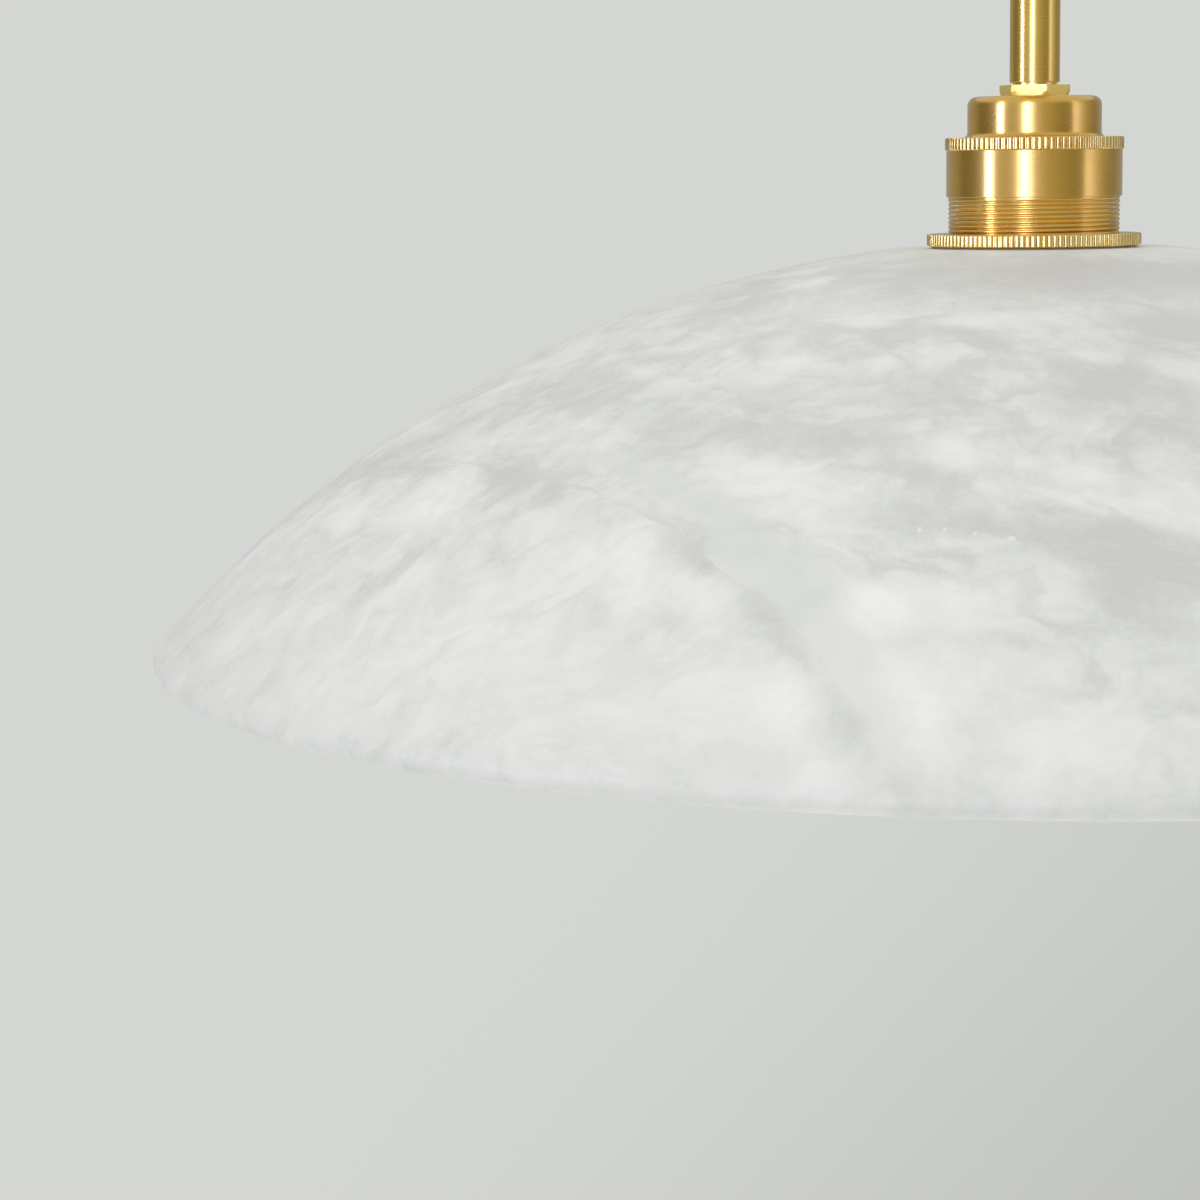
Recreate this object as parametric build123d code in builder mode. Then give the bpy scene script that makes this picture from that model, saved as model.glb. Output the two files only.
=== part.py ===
# Stone dome pendant on a brass rod: ceiling bracket and rose, rod, threaded brass lampholder,
# two knurled shade rings, a hollow stone dome and a screw-in bulb.
# Millimetres, +Z up. The origin is on the ceiling plane, on the axis of the rod.
import math
import os

from build123d import *

os.makedirs("parts", exist_ok=True)

# Driving dimensions

# Stone dome
shade_dia = 400.0
dome_radius = 269.0
shade_wall = 9.0
rim_round = 2.8
inner_rim_round = 2.0
seat_depth = 1.8
inner_seat_dia = 56.0
hole_clearance = 1.0

# Threaded fixings
fixing_thread_dia = 10.0
nipple_bore = 7.0
nipple_engagement = 15.0
nut_across_flats = 14.0
nut_height = 2.5
nut_chamfer_rise = 0.7
nut_corner_turn = 49.5
thread_fit = 0.05

# Rod
rod_dia = 11.2
rod_bore = 8.4
rod_length = 300.0
rod_chamfer = 0.4
rod_neck = 0.5

# Ceiling bracket and rose
bracket_width = 22.0
bracket_thickness = 2.0
bracket_drop = 12.0
bridge_half_length = 27.0
leg_run = 3.0
bracket_rose_clearance = 3.0
bracket_bend = 3.0
screw_spacing = 80.0
slot_width = 4.5
slot_length = 12.0
rose_dia = 116.0
rose_height = 28.0
rose_wall = 1.2
rose_round = 9.0
rose_hole_clearance = 0.5
collar_dia = 18.0
collar_height = 9.0
collar_round = 0.8
slide_fit = 0.06
grub_dia = 4.0
grub_socket = 2.0

# Terminal block on the bracket
block_width = 10.0
block_height = 9.0
block_pole_spacing = 6.0
block_end_margin = 4.0
block_offset = 11.0
block_hole_dia = 3.0
block_screw_dia = 3.6
block_screw_head = 1.4
screw_slot_width = 0.7
earth_screw_dia = 4.0
earth_screw_head_dia = 8.0
earth_screw_head = 2.4
earth_screw_offset = 17.0

# Lampholder cap with its knurled flange
cap_dia = 30.0
cap_height = 9.1
cap_wall = 1.4
cap_edge_round = 2.0
cap_flare = 1.2
cap_boss_dia = 14.0
cap_boss_height = 6.0
flange_dia = 40.0
flange_height = 2.8
flange_knurl_count = 90
knurl_depth = 0.35
knurl_crest_share = 0.6
spigot_dia = 36.4
spigot_bore = 33.0
spigot_length = 6.0

# Lampholder barrel
barrel_dia = 39.4
barrel_smooth_length = 10.4
skirt_thread_dia = 38.5
barrel_bore = 35.0
barrel_lip_height = 1.5
barrel_lip_bore = 31.0
thread_above_ring = 8.3
thread_below_ring = 3.0

# Shade rings and their washers
ring_dia = 48.1
ring_knurl_count = 122
ring_knurl_height = 2.6
ring_chamfer_height = 0.35
ring_chamfer_run = 0.8
washer_dia = 45.0
washer_height = 0.6
washer_recess = 0.4

# Insert with its screw shell and contacts
insert_fit = 0.2
insert_floor = 5.5
shell_bore = 27.0
shell_wall = 0.5
shell_length = 17.0
shell_flange_width = 3.0
shell_fit = 0.1
contact_thickness = 0.5
contact_width = 5.0
contact_drop = 2.2
contact_reach = 9.0
rivet_dia = 2.0
terminal_width = 5.0
terminal_depth = 5.0
terminal_height = 6.0
terminal_circle_radius = 9.5
terminal_screw_dia = 3.0
terminal_screw_head = 1.2

# Bulb
bulb_cap_dia = 26.2
bulb_cap_wall = 0.4
bulb_cap_length = 17.0
bulb_cap_cone = 3.0
bulb_insulator_dia = 15.0
bulb_insulator_height = 2.2
bulb_insulator_taper = 35.0
bulb_tip_dia = 9.0
bulb_tip_height = 1.2
bulb_tip_gap = 0.2
bulb_dia = 45.0
bulb_glass_wall = 0.9
bulb_neck_dia = 24.6
bulb_neck_length = 8.0
bulb_neck_insertion = 6.0
bulb_neck_round = 9.0

# Wires
wire_dia = 2.2
wire_circle_radius = 1.7
wire_bend = 2.4
wire_pole_angles = (-90, 0, 90)
wire_names = ("neutral_wire", "live_wire", "earth_wire")

# Heights, worked down from the ceiling plane
bridge_top = -bracket_drop
bridge_bottom = bridge_top - bracket_thickness
rod_top = bridge_bottom - nut_height
rod_bottom = rod_top - rod_length
lock_nut_top = rod_bottom - rod_neck
cap_top = lock_nut_top - nut_height
flange_top = cap_top - cap_height
flange_bottom = flange_top - flange_height
thread_top = flange_bottom - barrel_smooth_length
ring_height = ring_knurl_height + ring_chamfer_height
washer_proud = washer_height - washer_recess
upper_ring_top = thread_top - thread_above_ring
seat_z = upper_ring_top - ring_height - washer_proud
dome_centre_z = seat_z + seat_depth - dome_radius
inner_radius = dome_radius - shade_wall
inner_seat_z = dome_centre_z + math.sqrt(inner_radius**2 - (inner_seat_dia / 2) ** 2)
rim_centre_rise = math.sqrt((dome_radius - rim_round) ** 2 - (shade_dia / 2 - rim_round) ** 2)
rim_z = dome_centre_z + rim_centre_rise - rim_round
lower_ring_top = inner_seat_z - washer_proud
lower_ring_bottom = lower_ring_top - ring_height
barrel_bottom = lower_ring_bottom - thread_below_ring
insert_bottom = barrel_bottom + barrel_lip_height
insert_top = flange_bottom - spigot_length
floor_z = insert_top - insert_floor
rose_bottom = -rose_height
nipple_bottom = cap_top - cap_boss_height
bulb_tip_top = floor_z - contact_drop - contact_thickness - bulb_tip_gap
bulb_cap_top = bulb_tip_top - bulb_tip_height - bulb_insulator_height

# Fits between the threaded pieces
nipple_dia = fixing_thread_dia - 2 * thread_fit
ring_bore = skirt_thread_dia + 2 * thread_fit
shade_hole_dia = skirt_thread_dia + 2 * hole_clearance
insert_dia = barrel_bore - 2 * insert_fit
shell_dia = shell_bore + 2 * shell_wall
cavity_dia = shell_dia + 2 * shell_fit
spigot_seat_dia = spigot_dia + 2 * thread_fit


def save(part, name):
    part.label = name
    export_step(part, f"parts/{name}.step")


def knurl_points(diameter, teeth):
    """Corners of a straight knurl: each tooth has a flat crest and a V groove beside it."""
    step = 2 * math.pi / teeth
    corners = []
    for tooth in range(teeth):
        start = tooth * step
        for share, radius in (
            (0.0, diameter / 2),
            (knurl_crest_share, diameter / 2),
            ((1 + knurl_crest_share) / 2, diameter / 2 - knurl_depth),
        ):
            turn = start + share * step
            corners.append((radius * math.cos(turn), radius * math.sin(turn)))
    return corners


def add_knurl(diameter, teeth, bottom, height):
    """A knurled disc, added to the part that is being built."""
    with BuildSketch(Plane.XY.offset(bottom)) as knurl:
        with BuildLine():
            Polyline(knurl_points(diameter, teeth), close=True)
        make_face()
    extrude(knurl.sketch, amount=height)


def ring_profile(inner_dia, outer_dia, bottom, top):
    """A rectangle in the XZ plane that revolves into a plain ring."""
    with Locations(((inner_dia + outer_dia) / 4, (bottom + top) / 2)):
        Rectangle((outer_dia - inner_dia) / 2, top - bottom)


def hex_nut(bottom, bore):
    """A thin hexagonal nut whose lower corners are turned off at a slant."""
    corner_radius = nut_across_flats / 2 / math.cos(math.radians(30))
    with BuildPart() as nut:
        with BuildSketch(Plane.XY.offset(bottom)):
            RegularPolygon(nut_across_flats / 2, 6, major_radius=False, rotation=nut_corner_turn)
            Circle(bore / 2, mode=Mode.SUBTRACT)
        extrude(amount=nut_height)
        with BuildSketch(Plane.XZ):
            with BuildLine():
                Polyline(
                    (0, bottom),
                    (nut_across_flats / 2, bottom),
                    (corner_radius, bottom + nut_chamfer_rise),
                    (corner_radius, bottom + nut_height),
                    (0, bottom + nut_height),
                    close=True,
                )
            make_face()
        revolve(axis=Axis.Z, mode=Mode.INTERSECT)
    return nut.part


# Ceiling bracket: a bridge strap with a slotted foot at each end
foot_start = bridge_half_length + leg_run
foot_corner_radius = rose_dia / 2 - rose_wall - bracket_rose_clearance
foot_end = math.sqrt(foot_corner_radius**2 - (bracket_width / 2) ** 2)
middle_drop = bracket_thickness / 2
with BuildPart() as ceiling_bracket:
    with BuildSketch(Plane.XZ.offset(-bracket_width / 2)):
        with BuildLine():
            FilletPolyline(
                (-foot_end, -middle_drop),
                (-foot_start, -middle_drop),
                (-bridge_half_length, bridge_top - middle_drop),
                (bridge_half_length, bridge_top - middle_drop),
                (foot_start, -middle_drop),
                (foot_end, -middle_drop),
                radius=bracket_bend,
            )
        trace(line_width=bracket_thickness)
    extrude(amount=bracket_width)
    with BuildSketch(Plane.XY.offset(bridge_bottom)):
        Circle(fixing_thread_dia / 2)
        with Locations((-earth_screw_offset, 0)):
            Circle(earth_screw_dia / 2 + thread_fit)
    extrude(amount=bracket_thickness, mode=Mode.SUBTRACT)
    with BuildSketch(Plane.XY.offset(-bracket_thickness)):
        with Locations((-screw_spacing / 2, 0), (screw_spacing / 2, 0)):
            SlotOverall(slot_length, slot_width)
    extrude(amount=bracket_thickness, mode=Mode.SUBTRACT)
save(ceiling_bracket.part, "ceiling_bracket")

# Nuts that clamp the upper nipple to the bracket, one above and one below
clamp_nuts = [hex_nut(bridge_top, fixing_thread_dia), hex_nut(rod_top, fixing_thread_dia)]
save(Compound(children=clamp_nuts), "bracket_nuts")

# Threaded nipples that join the rod to the bracket and to the lampholder
with BuildPart() as upper_nipple:
    with BuildSketch(Plane.XZ):
        ring_profile(nipple_bore, nipple_dia, rod_top - nipple_engagement, bridge_top + nut_height)
    revolve(axis=Axis.Z)
save(upper_nipple.part, "upper_nipple")

with BuildPart() as lower_nipple:
    with BuildSketch(Plane.XZ):
        ring_profile(nipple_bore, nipple_dia, nipple_bottom, rod_bottom + nipple_engagement)
    revolve(axis=Axis.Z)
save(lower_nipple.part, "lower_nipple")

save(hex_nut(cap_top, fixing_thread_dia), "lock_nut")

# Rod: a brass tube tapped at both ends
with BuildPart() as rod:
    with BuildSketch(Plane.XZ):
        ring_profile(rod_bore, rod_dia, rod_bottom, rod_top)
    revolve(axis=Axis.Z)
    chamfer(rod.edges().filter_by(GeomType.CIRCLE).sort_by(SortBy.RADIUS)[-2:], length=rod_chamfer)
    with BuildSketch(Plane.XY.offset(rod_bottom)):
        Circle(fixing_thread_dia / 2)
    extrude(amount=nipple_engagement, mode=Mode.SUBTRACT)
    with BuildSketch(Plane.XY.offset(rod_top)):
        Circle(fixing_thread_dia / 2)
    extrude(amount=-nipple_engagement, mode=Mode.SUBTRACT)
save(rod.part, "rod")

# Ceiling rose: a spun cup, open towards the ceiling
rose_hole_radius = rod_dia / 2 + rose_hole_clearance
with BuildPart() as ceiling_rose:
    with BuildSketch(Plane.XZ):
        with BuildLine():
            outside = FilletPolyline(
                (rose_dia / 2, 0),
                (rose_dia / 2, rose_bottom),
                (rose_hole_radius, rose_bottom),
                radius=rose_round,
            )
            inside = FilletPolyline(
                (rose_dia / 2 - rose_wall, 0),
                (rose_dia / 2 - rose_wall, rose_bottom + rose_wall),
                (rose_hole_radius, rose_bottom + rose_wall),
                radius=rose_round - rose_wall,
            )
            Line(outside @ 0, inside @ 0)
            Line(outside @ 1, inside @ 1)
        make_face()
    revolve(axis=Axis.Z)
save(ceiling_rose.part, "ceiling_rose")

# Collar that holds the rose up on the rod, with its grub screw at the back
collar_middle = rose_bottom - collar_height / 2
grub_length = (collar_dia - rod_dia) / 2 - slide_fit
with BuildPart() as rose_collar:
    with BuildSketch(Plane.XZ):
        ring_profile(rod_dia + 2 * slide_fit, collar_dia, rose_bottom - collar_height, rose_bottom)
    revolve(axis=Axis.Z)
    outer_edges = rose_collar.edges().filter_by(GeomType.CIRCLE).sort_by(SortBy.RADIUS)[-2:]
    fillet(outer_edges.sort_by(Axis.Z)[0], radius=collar_round)
    with BuildSketch(Plane.XZ.offset(-collar_dia / 2)):
        with Locations((0, collar_middle)):
            Circle(grub_dia / 2)
    extrude(amount=collar_dia / 2 - rod_dia / 4, mode=Mode.SUBTRACT)
save(rose_collar.part, "rose_collar")

with BuildPart() as grub_screw:
    with BuildSketch(Plane.XZ.offset(-collar_dia / 2)):
        with Locations((0, collar_middle)):
            Circle(grub_dia / 2 - thread_fit)
            RegularPolygon(grub_socket / 2, 6, major_radius=False, mode=Mode.SUBTRACT)
    extrude(amount=grub_length - grub_socket)
    with BuildSketch(Plane.XZ.offset(-collar_dia / 2 + grub_length - grub_socket)):
        with Locations((0, collar_middle)):
            Circle(grub_dia / 2 - thread_fit)
    extrude(amount=grub_socket - slide_fit)
save(grub_screw.part, "collar_grub_screw")

# Terminal block on the bridge, with a clamp screw over each pole
block_length = 2 * (block_pole_spacing + block_end_margin)
block_middle_x = block_offset + block_width / 2
block_hole_z = bridge_top + block_height / 2
pole_rows = [pole * block_pole_spacing for pole in (-1, 0, 1)]
screw_hole_radius = block_screw_dia / 2 + thread_fit
with BuildPart() as terminal_block:
    with BuildSketch(Plane.XY.offset(bridge_top)):
        with Locations((block_middle_x, 0)):
            Rectangle(block_width, block_length)
    extrude(amount=block_height)
    fillet(terminal_block.edges().filter_by(Axis.Z), radius=block_end_margin / 4)
    with BuildSketch(Plane.YZ.offset(block_offset)):
        with Locations(*[(y, block_hole_z) for y in pole_rows]):
            Circle(block_hole_dia / 2)
    extrude(amount=block_width, mode=Mode.SUBTRACT)
    with BuildSketch(Plane.XY.offset(bridge_top + block_height)):
        with Locations(*[(block_middle_x, y) for y in pole_rows]):
            Circle(screw_hole_radius)
    extrude(amount=-block_height / 2, mode=Mode.SUBTRACT)
save(terminal_block.part, "terminal_block")

with BuildPart() as block_screws:
    with BuildSketch(Plane.XY.offset(block_hole_z + wire_dia / 2)):
        with Locations(*[(block_middle_x, y) for y in pole_rows]):
            Circle(block_screw_dia / 2)
    extrude(amount=(block_height - wire_dia) / 2 - block_screw_head / 2)
    with BuildSketch(Plane.XY.offset(bridge_top + block_height - block_screw_head / 2)):
        with Locations(*[(block_middle_x, y) for y in pole_rows]):
            Rectangle(block_screw_dia, screw_slot_width)
    extrude(amount=-block_screw_head / 2, mode=Mode.SUBTRACT)
save(block_screws.part, "terminal_block_screws")

with BuildPart() as earth_screw:
    with BuildSketch(Plane.XY.offset(bridge_top)):
        with Locations((-earth_screw_offset, 0)):
            Circle(earth_screw_head_dia / 2)
    extrude(amount=earth_screw_head)
    fillet(earth_screw.edges().sort_by(Axis.Z)[-1], radius=earth_screw_head / 2)
    with BuildSketch(Plane.XY.offset(bridge_top)):
        with Locations((-earth_screw_offset, 0)):
            Circle(earth_screw_dia / 2)
    extrude(amount=-2 * bracket_thickness)
save(earth_screw.part, "bracket_earth_screw")

# Lampholder cap: a turned dome with a knurled flange and a threaded spigot below it
chamber_radius = cap_dia / 2 - cap_wall
with BuildPart() as lampholder_cap:
    with BuildSketch(Plane.XZ) as cap_section:
        with BuildLine():
            Polyline(
                (fixing_thread_dia / 2, cap_top),
                (cap_dia / 2, cap_top),
                (cap_dia / 2, flange_top),
                (flange_dia / 2 - 2 * knurl_depth, flange_top),
                (flange_dia / 2 - 2 * knurl_depth, flange_bottom),
                (spigot_dia / 2, flange_bottom),
                (spigot_dia / 2, insert_top),
                (spigot_bore / 2, insert_top),
                (spigot_bore / 2, flange_bottom),
                (chamber_radius, flange_bottom),
                (chamber_radius, cap_top - cap_wall),
                (cap_boss_dia / 2, cap_top - cap_wall),
                (cap_boss_dia / 2, nipple_bottom),
                (fixing_thread_dia / 2, nipple_bottom),
                close=True,
            )
        make_face()
        top_corner = cap_section.vertices().sort_by_distance((cap_dia / 2, cap_top))[0]
        fillet(top_corner, radius=cap_edge_round)
        flare_corner = cap_section.vertices().sort_by_distance((cap_dia / 2, flange_top))[0]
        fillet(flare_corner, radius=cap_flare)
    revolve(axis=Axis.Z)
    add_knurl(flange_dia, flange_knurl_count, flange_bottom, flange_height)
    with BuildSketch(Plane.XY.offset(flange_bottom)):
        Circle(chamber_radius)
    extrude(amount=flange_height, mode=Mode.SUBTRACT)
save(lampholder_cap.part, "lampholder_cap")

# Lampholder barrel: smooth above, threaded for the shade rings below, with a lip at the mouth
with BuildPart() as lampholder_barrel:
    with BuildSketch(Plane.XZ):
        with BuildLine():
            Polyline(
                (spigot_seat_dia / 2, flange_bottom),
                (barrel_dia / 2, flange_bottom),
                (barrel_dia / 2, thread_top),
                (skirt_thread_dia / 2, thread_top),
                (skirt_thread_dia / 2, barrel_bottom),
                (barrel_lip_bore / 2, barrel_bottom),
                (barrel_lip_bore / 2, insert_bottom),
                (barrel_bore / 2, insert_bottom),
                (barrel_bore / 2, insert_top),
                (spigot_seat_dia / 2, insert_top),
                close=True,
            )
        make_face()
    revolve(axis=Axis.Z)
save(lampholder_barrel.part, "lampholder_barrel")

# Porcelain insert: the cavity for the screw shell below, a floor for the terminals above
rivet_radius = shell_bore / 2 - shell_flange_width / 2
rivet_places = [(contact_reach, 0), (0, -rivet_radius)]
with BuildPart() as lampholder_insert:
    with BuildSketch(Plane.XZ):
        ring_profile(cavity_dia, insert_dia, insert_bottom, floor_z)
    revolve(axis=Axis.Z)
    with BuildSketch(Plane.XY.offset(floor_z)):
        Circle(insert_dia / 2)
        with Locations(*rivet_places):
            Circle(rivet_dia / 2 + thread_fit, mode=Mode.SUBTRACT)
    extrude(amount=insert_floor)
save(lampholder_insert.part, "lampholder_insert")

# Screw shell that takes the bulb, hung from the floor by its flange
with BuildPart() as screw_shell:
    with BuildSketch(Plane.XZ):
        ring_profile(shell_bore, shell_dia, floor_z - shell_length, floor_z)
        ring_profile(shell_bore - 2 * shell_flange_width, shell_dia, floor_z - shell_wall, floor_z)
    revolve(axis=Axis.Z)
    with BuildSketch(Plane.XY.offset(floor_z)):
        with Locations((0, -rivet_radius)):
            Circle(rivet_dia / 2 + thread_fit)
        with Locations((contact_reach, 0)):
            Rectangle(2 * contact_width, contact_width + 2 * shell_wall)
    extrude(amount=-shell_wall, mode=Mode.SUBTRACT)
save(screw_shell.part, "screw_shell")

# Centre contact: a spring tongue that slopes down to meet the tip of the bulb
contact_middle = floor_z - contact_thickness / 2
with BuildPart() as centre_contact:
    with BuildSketch(Plane.XZ.offset(-contact_width / 2)):
        with BuildLine():
            FilletPolyline(
                (contact_reach + rivet_dia, contact_middle),
                (contact_reach - rivet_dia, contact_middle),
                (bulb_tip_dia / 4, contact_middle - contact_drop),
                (-bulb_tip_dia / 2, contact_middle - contact_drop),
                radius=2 * contact_thickness,
            )
        trace(line_width=contact_thickness)
    extrude(amount=contact_width)
    with BuildSketch(Plane.XY.offset(floor_z)):
        with Locations((contact_reach, 0)):
            Circle(rivet_dia / 2 + thread_fit)
    extrude(amount=-contact_thickness, mode=Mode.SUBTRACT)
save(centre_contact.part, "centre_contact")

# Rivets that carry the current from the terminals through the floor
rivet_feet = [contact_thickness, shell_wall]
with BuildPart() as contact_rivets:
    for place, foot in zip(rivet_places, rivet_feet):
        with BuildSketch(Plane.XY.offset(floor_z - foot)):
            with Locations(place):
                Circle(rivet_dia / 2)
        extrude(amount=insert_floor + foot)
save(contact_rivets.part, "contact_rivets")

# Terminals on the floor, each with a wire hole from above and a clamp screw at its side
wire_hole_depth = 2 * terminal_height / 3
terminal_places = [Location((0, 0, 0), (0, 0, angle)) * Location((terminal_circle_radius, 0, 0))
                   for angle in wire_pole_angles]
screw_z = insert_top + terminal_height - wire_hole_depth / 2
with BuildPart() as holder_terminals:
    with BuildSketch(Plane.XY.offset(insert_top)):
        with Locations(*terminal_places):
            Rectangle(terminal_depth, terminal_width)
    extrude(amount=terminal_height)
    with BuildSketch(Plane.XY.offset(insert_top + terminal_height)):
        with Locations(*terminal_places):
            Circle(wire_dia / 2 + thread_fit)
    extrude(amount=-wire_hole_depth, mode=Mode.SUBTRACT)
save(holder_terminals.part, "holder_terminals")

with BuildPart() as terminal_screws:
    for angle in wire_pole_angles:
        outward = Vector(math.cos(math.radians(angle)), math.sin(math.radians(angle)), 0)
        side = Plane(
            origin=outward * (terminal_circle_radius + terminal_depth / 2) + Vector(0, 0, screw_z),
            z_dir=outward,
        )
        with BuildSketch(side):
            Circle(terminal_screw_dia / 2)
        extrude(amount=terminal_screw_head)
        with BuildSketch(side.offset(terminal_screw_head / 2)):
            Rectangle(terminal_screw_dia, screw_slot_width)
        extrude(amount=terminal_screw_head, mode=Mode.SUBTRACT)
save(terminal_screws.part, "holder_terminal_screws")


# Shade rings: the upper one presses down on the stone, the lower one carries it
def shade_ring(flat_z, way):
    """A knurled ring whose washer recess opens at flat_z; way is the side the ring lies on."""
    knurl_start = flat_z + way * ring_chamfer_height
    knurl_end = flat_z + way * ring_height
    root_radius = ring_dia / 2 - knurl_depth
    with BuildPart() as ring:
        add_knurl(ring_dia, ring_knurl_count, min(knurl_start, knurl_end), ring_knurl_height)
        with BuildSketch(Plane.XZ):
            with BuildLine():
                Polyline(
                    (0, flat_z),
                    (root_radius - ring_chamfer_run, flat_z),
                    (root_radius, knurl_start),
                    (0, knurl_start),
                    close=True,
                )
            make_face()
        revolve(axis=Axis.Z)
        with BuildSketch(Plane.XY.offset(flat_z)):
            Circle(ring_bore / 2)
        extrude(amount=way * ring_height, mode=Mode.SUBTRACT)
        with BuildSketch(Plane.XY.offset(flat_z)):
            Circle(washer_dia / 2 + thread_fit)
        extrude(amount=way * washer_recess, mode=Mode.SUBTRACT)
    return ring.part


def shade_washer(stone_z, way):
    """The silicone washer between the stone face at stone_z and a shade ring."""
    near, far = sorted((stone_z, stone_z + way * washer_height))
    with BuildPart() as washer:
        with BuildSketch(Plane.XZ):
            ring_profile(ring_bore + 2 * thread_fit, washer_dia, near, far)
        revolve(axis=Axis.Z)
    return washer.part


save(shade_ring(seat_z + washer_proud, 1), "upper_shade_ring")
save(shade_washer(seat_z, 1), "upper_washer")
save(shade_ring(lower_ring_top, -1), "lower_shade_ring")
save(shade_washer(inner_seat_z, -1), "lower_washer")

# Stone dome: a shell between two spheres about one centre, flat where the rings clamp it
outer_rim_radius = math.sqrt(dome_radius**2 - (rim_z - dome_centre_z) ** 2)
inner_rim_radius = math.sqrt(inner_radius**2 - (rim_z - dome_centre_z) ** 2)
seat_radius = math.sqrt(dome_radius**2 - (seat_z - dome_centre_z) ** 2)


def on_sphere(radius, reach):
    return (reach, dome_centre_z + math.sqrt(radius**2 - reach**2))


with BuildPart() as shade:
    with BuildSketch(Plane.XZ) as shade_section:
        with BuildLine():
            outer_arc = ThreePointArc(
                (seat_radius, seat_z),
                on_sphere(dome_radius, shade_dia / 4),
                (outer_rim_radius, rim_z),
            )
            inner_arc = ThreePointArc(
                (inner_rim_radius, rim_z),
                on_sphere(inner_radius, shade_dia / 4),
                (inner_seat_dia / 2, inner_seat_z),
            )
            Line(outer_arc @ 1, inner_arc @ 0)
            Polyline(
                inner_arc @ 1,
                (shade_hole_dia / 2, inner_seat_z),
                (shade_hole_dia / 2, seat_z),
                outer_arc @ 0,
            )
        make_face()
        outer_corner = shade_section.vertices().sort_by_distance((outer_rim_radius, rim_z))[0]
        fillet(outer_corner, radius=rim_round)
        inner_corner = shade_section.vertices().sort_by_distance((inner_rim_radius, rim_z))[0]
        fillet(inner_corner, radius=inner_rim_round)
    revolve(axis=Axis.Z)
save(shade.part, "shade")

# Bulb: glass globe, screw cap, insulator and tip
cap_mouth = bulb_cap_top - bulb_cap_cone - bulb_cap_length
with BuildPart() as bulb_cap:
    with BuildSketch(Plane.XZ):
        with BuildLine():
            Polyline(
                (bulb_cap_dia / 2, cap_mouth),
                (bulb_cap_dia / 2, bulb_cap_top - bulb_cap_cone),
                (bulb_insulator_dia / 2, bulb_cap_top),
                (bulb_tip_dia / 2, bulb_cap_top),
                (bulb_tip_dia / 2, bulb_cap_top - bulb_cap_wall),
                (bulb_insulator_dia / 2, bulb_cap_top - bulb_cap_wall),
                (bulb_cap_dia / 2 - bulb_cap_wall, bulb_cap_top - bulb_cap_cone),
                (bulb_cap_dia / 2 - bulb_cap_wall, cap_mouth),
                close=True,
            )
        make_face()
    revolve(axis=Axis.Z)
save(bulb_cap.part, "bulb_cap")

with BuildPart() as bulb_insulator:
    with BuildSketch(Plane.XY.offset(bulb_cap_top)):
        Circle(bulb_insulator_dia / 2)
    extrude(amount=bulb_insulator_height, taper=bulb_insulator_taper)
save(bulb_insulator.part, "bulb_insulator")

with BuildPart() as bulb_tip:
    with BuildSketch(Plane.XY.offset(bulb_cap_top + bulb_insulator_height)):
        Circle(bulb_tip_dia / 2)
    extrude(amount=bulb_tip_height)
    fillet(bulb_tip.edges().sort_by(Axis.Z)[-1], radius=bulb_tip_height / 2)
save(bulb_tip.part, "bulb_tip")

neck_radius = bulb_neck_dia / 2
neck_top = cap_mouth + bulb_neck_insertion
globe_radius = bulb_dia / 2
globe_z = cap_mouth - bulb_neck_length - math.sqrt(globe_radius**2 - neck_radius**2)


def bulb_section(shrink):
    """Half section of the glass, drawn in by shrink from its outer surface."""
    reach = globe_radius - shrink
    throat = neck_radius - shrink
    meeting = globe_z + math.sqrt(reach**2 - throat**2)
    with BuildSketch(Plane.XZ) as section:
        with BuildLine():
            globe = ThreePointArc(
                (0, globe_z - reach),
                (reach, globe_z),
                (throat, meeting),
            )
            Polyline(globe @ 1, (throat, neck_top), (0, neck_top), globe @ 0)
        make_face()
        waist = section.vertices().sort_by_distance((throat, meeting))[0]
        fillet(waist, radius=bulb_neck_round + shrink)
    return section.sketch


with BuildPart() as bulb_glass:
    revolve(bulb_section(0), axis=Axis.Z)
    revolve(bulb_section(bulb_glass_wall), axis=Axis.Z, mode=Mode.SUBTRACT)
save(bulb_glass.part, "bulb_glass")

# Wires: from the terminal block, down the rod and out to the terminals of the insert
wire_end_z = insert_top + terminal_height - wire_hole_depth
terminal_mouth = insert_top + terminal_height
for name, angle, pole_y in zip(wire_names, wire_pole_angles, pole_rows):
    outward = Vector(math.cos(math.radians(angle)), math.sin(math.radians(angle)), 0)
    inner = outward * wire_circle_radius
    outer = outward * terminal_circle_radius
    route = [(block_middle_x, pole_y, block_hole_z)]
    if pole_y != 0:
        route.append((block_offset - wire_bend, pole_y, block_hole_z))
    route += [
        (inner.X, inner.Y, block_hole_z),
        (inner.X, inner.Y, nipple_bottom - wire_bend / 2),
        (outer.X, outer.Y, terminal_mouth + wire_bend / 2),
        (outer.X, outer.Y, wire_end_z),
    ]
    with BuildPart() as wire:
        with BuildLine() as wire_path:
            FilletPolyline(*route, radius=wire_bend)
        with BuildSketch(Plane(wire_path.line @ 0, z_dir=wire_path.line % 0)):
            Circle(wire_dia / 2)
        sweep()
    save(wire.part, name)
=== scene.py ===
import math

import bmesh
import bpy
import numpy as np
from mathutils import Matrix, Vector


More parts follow.
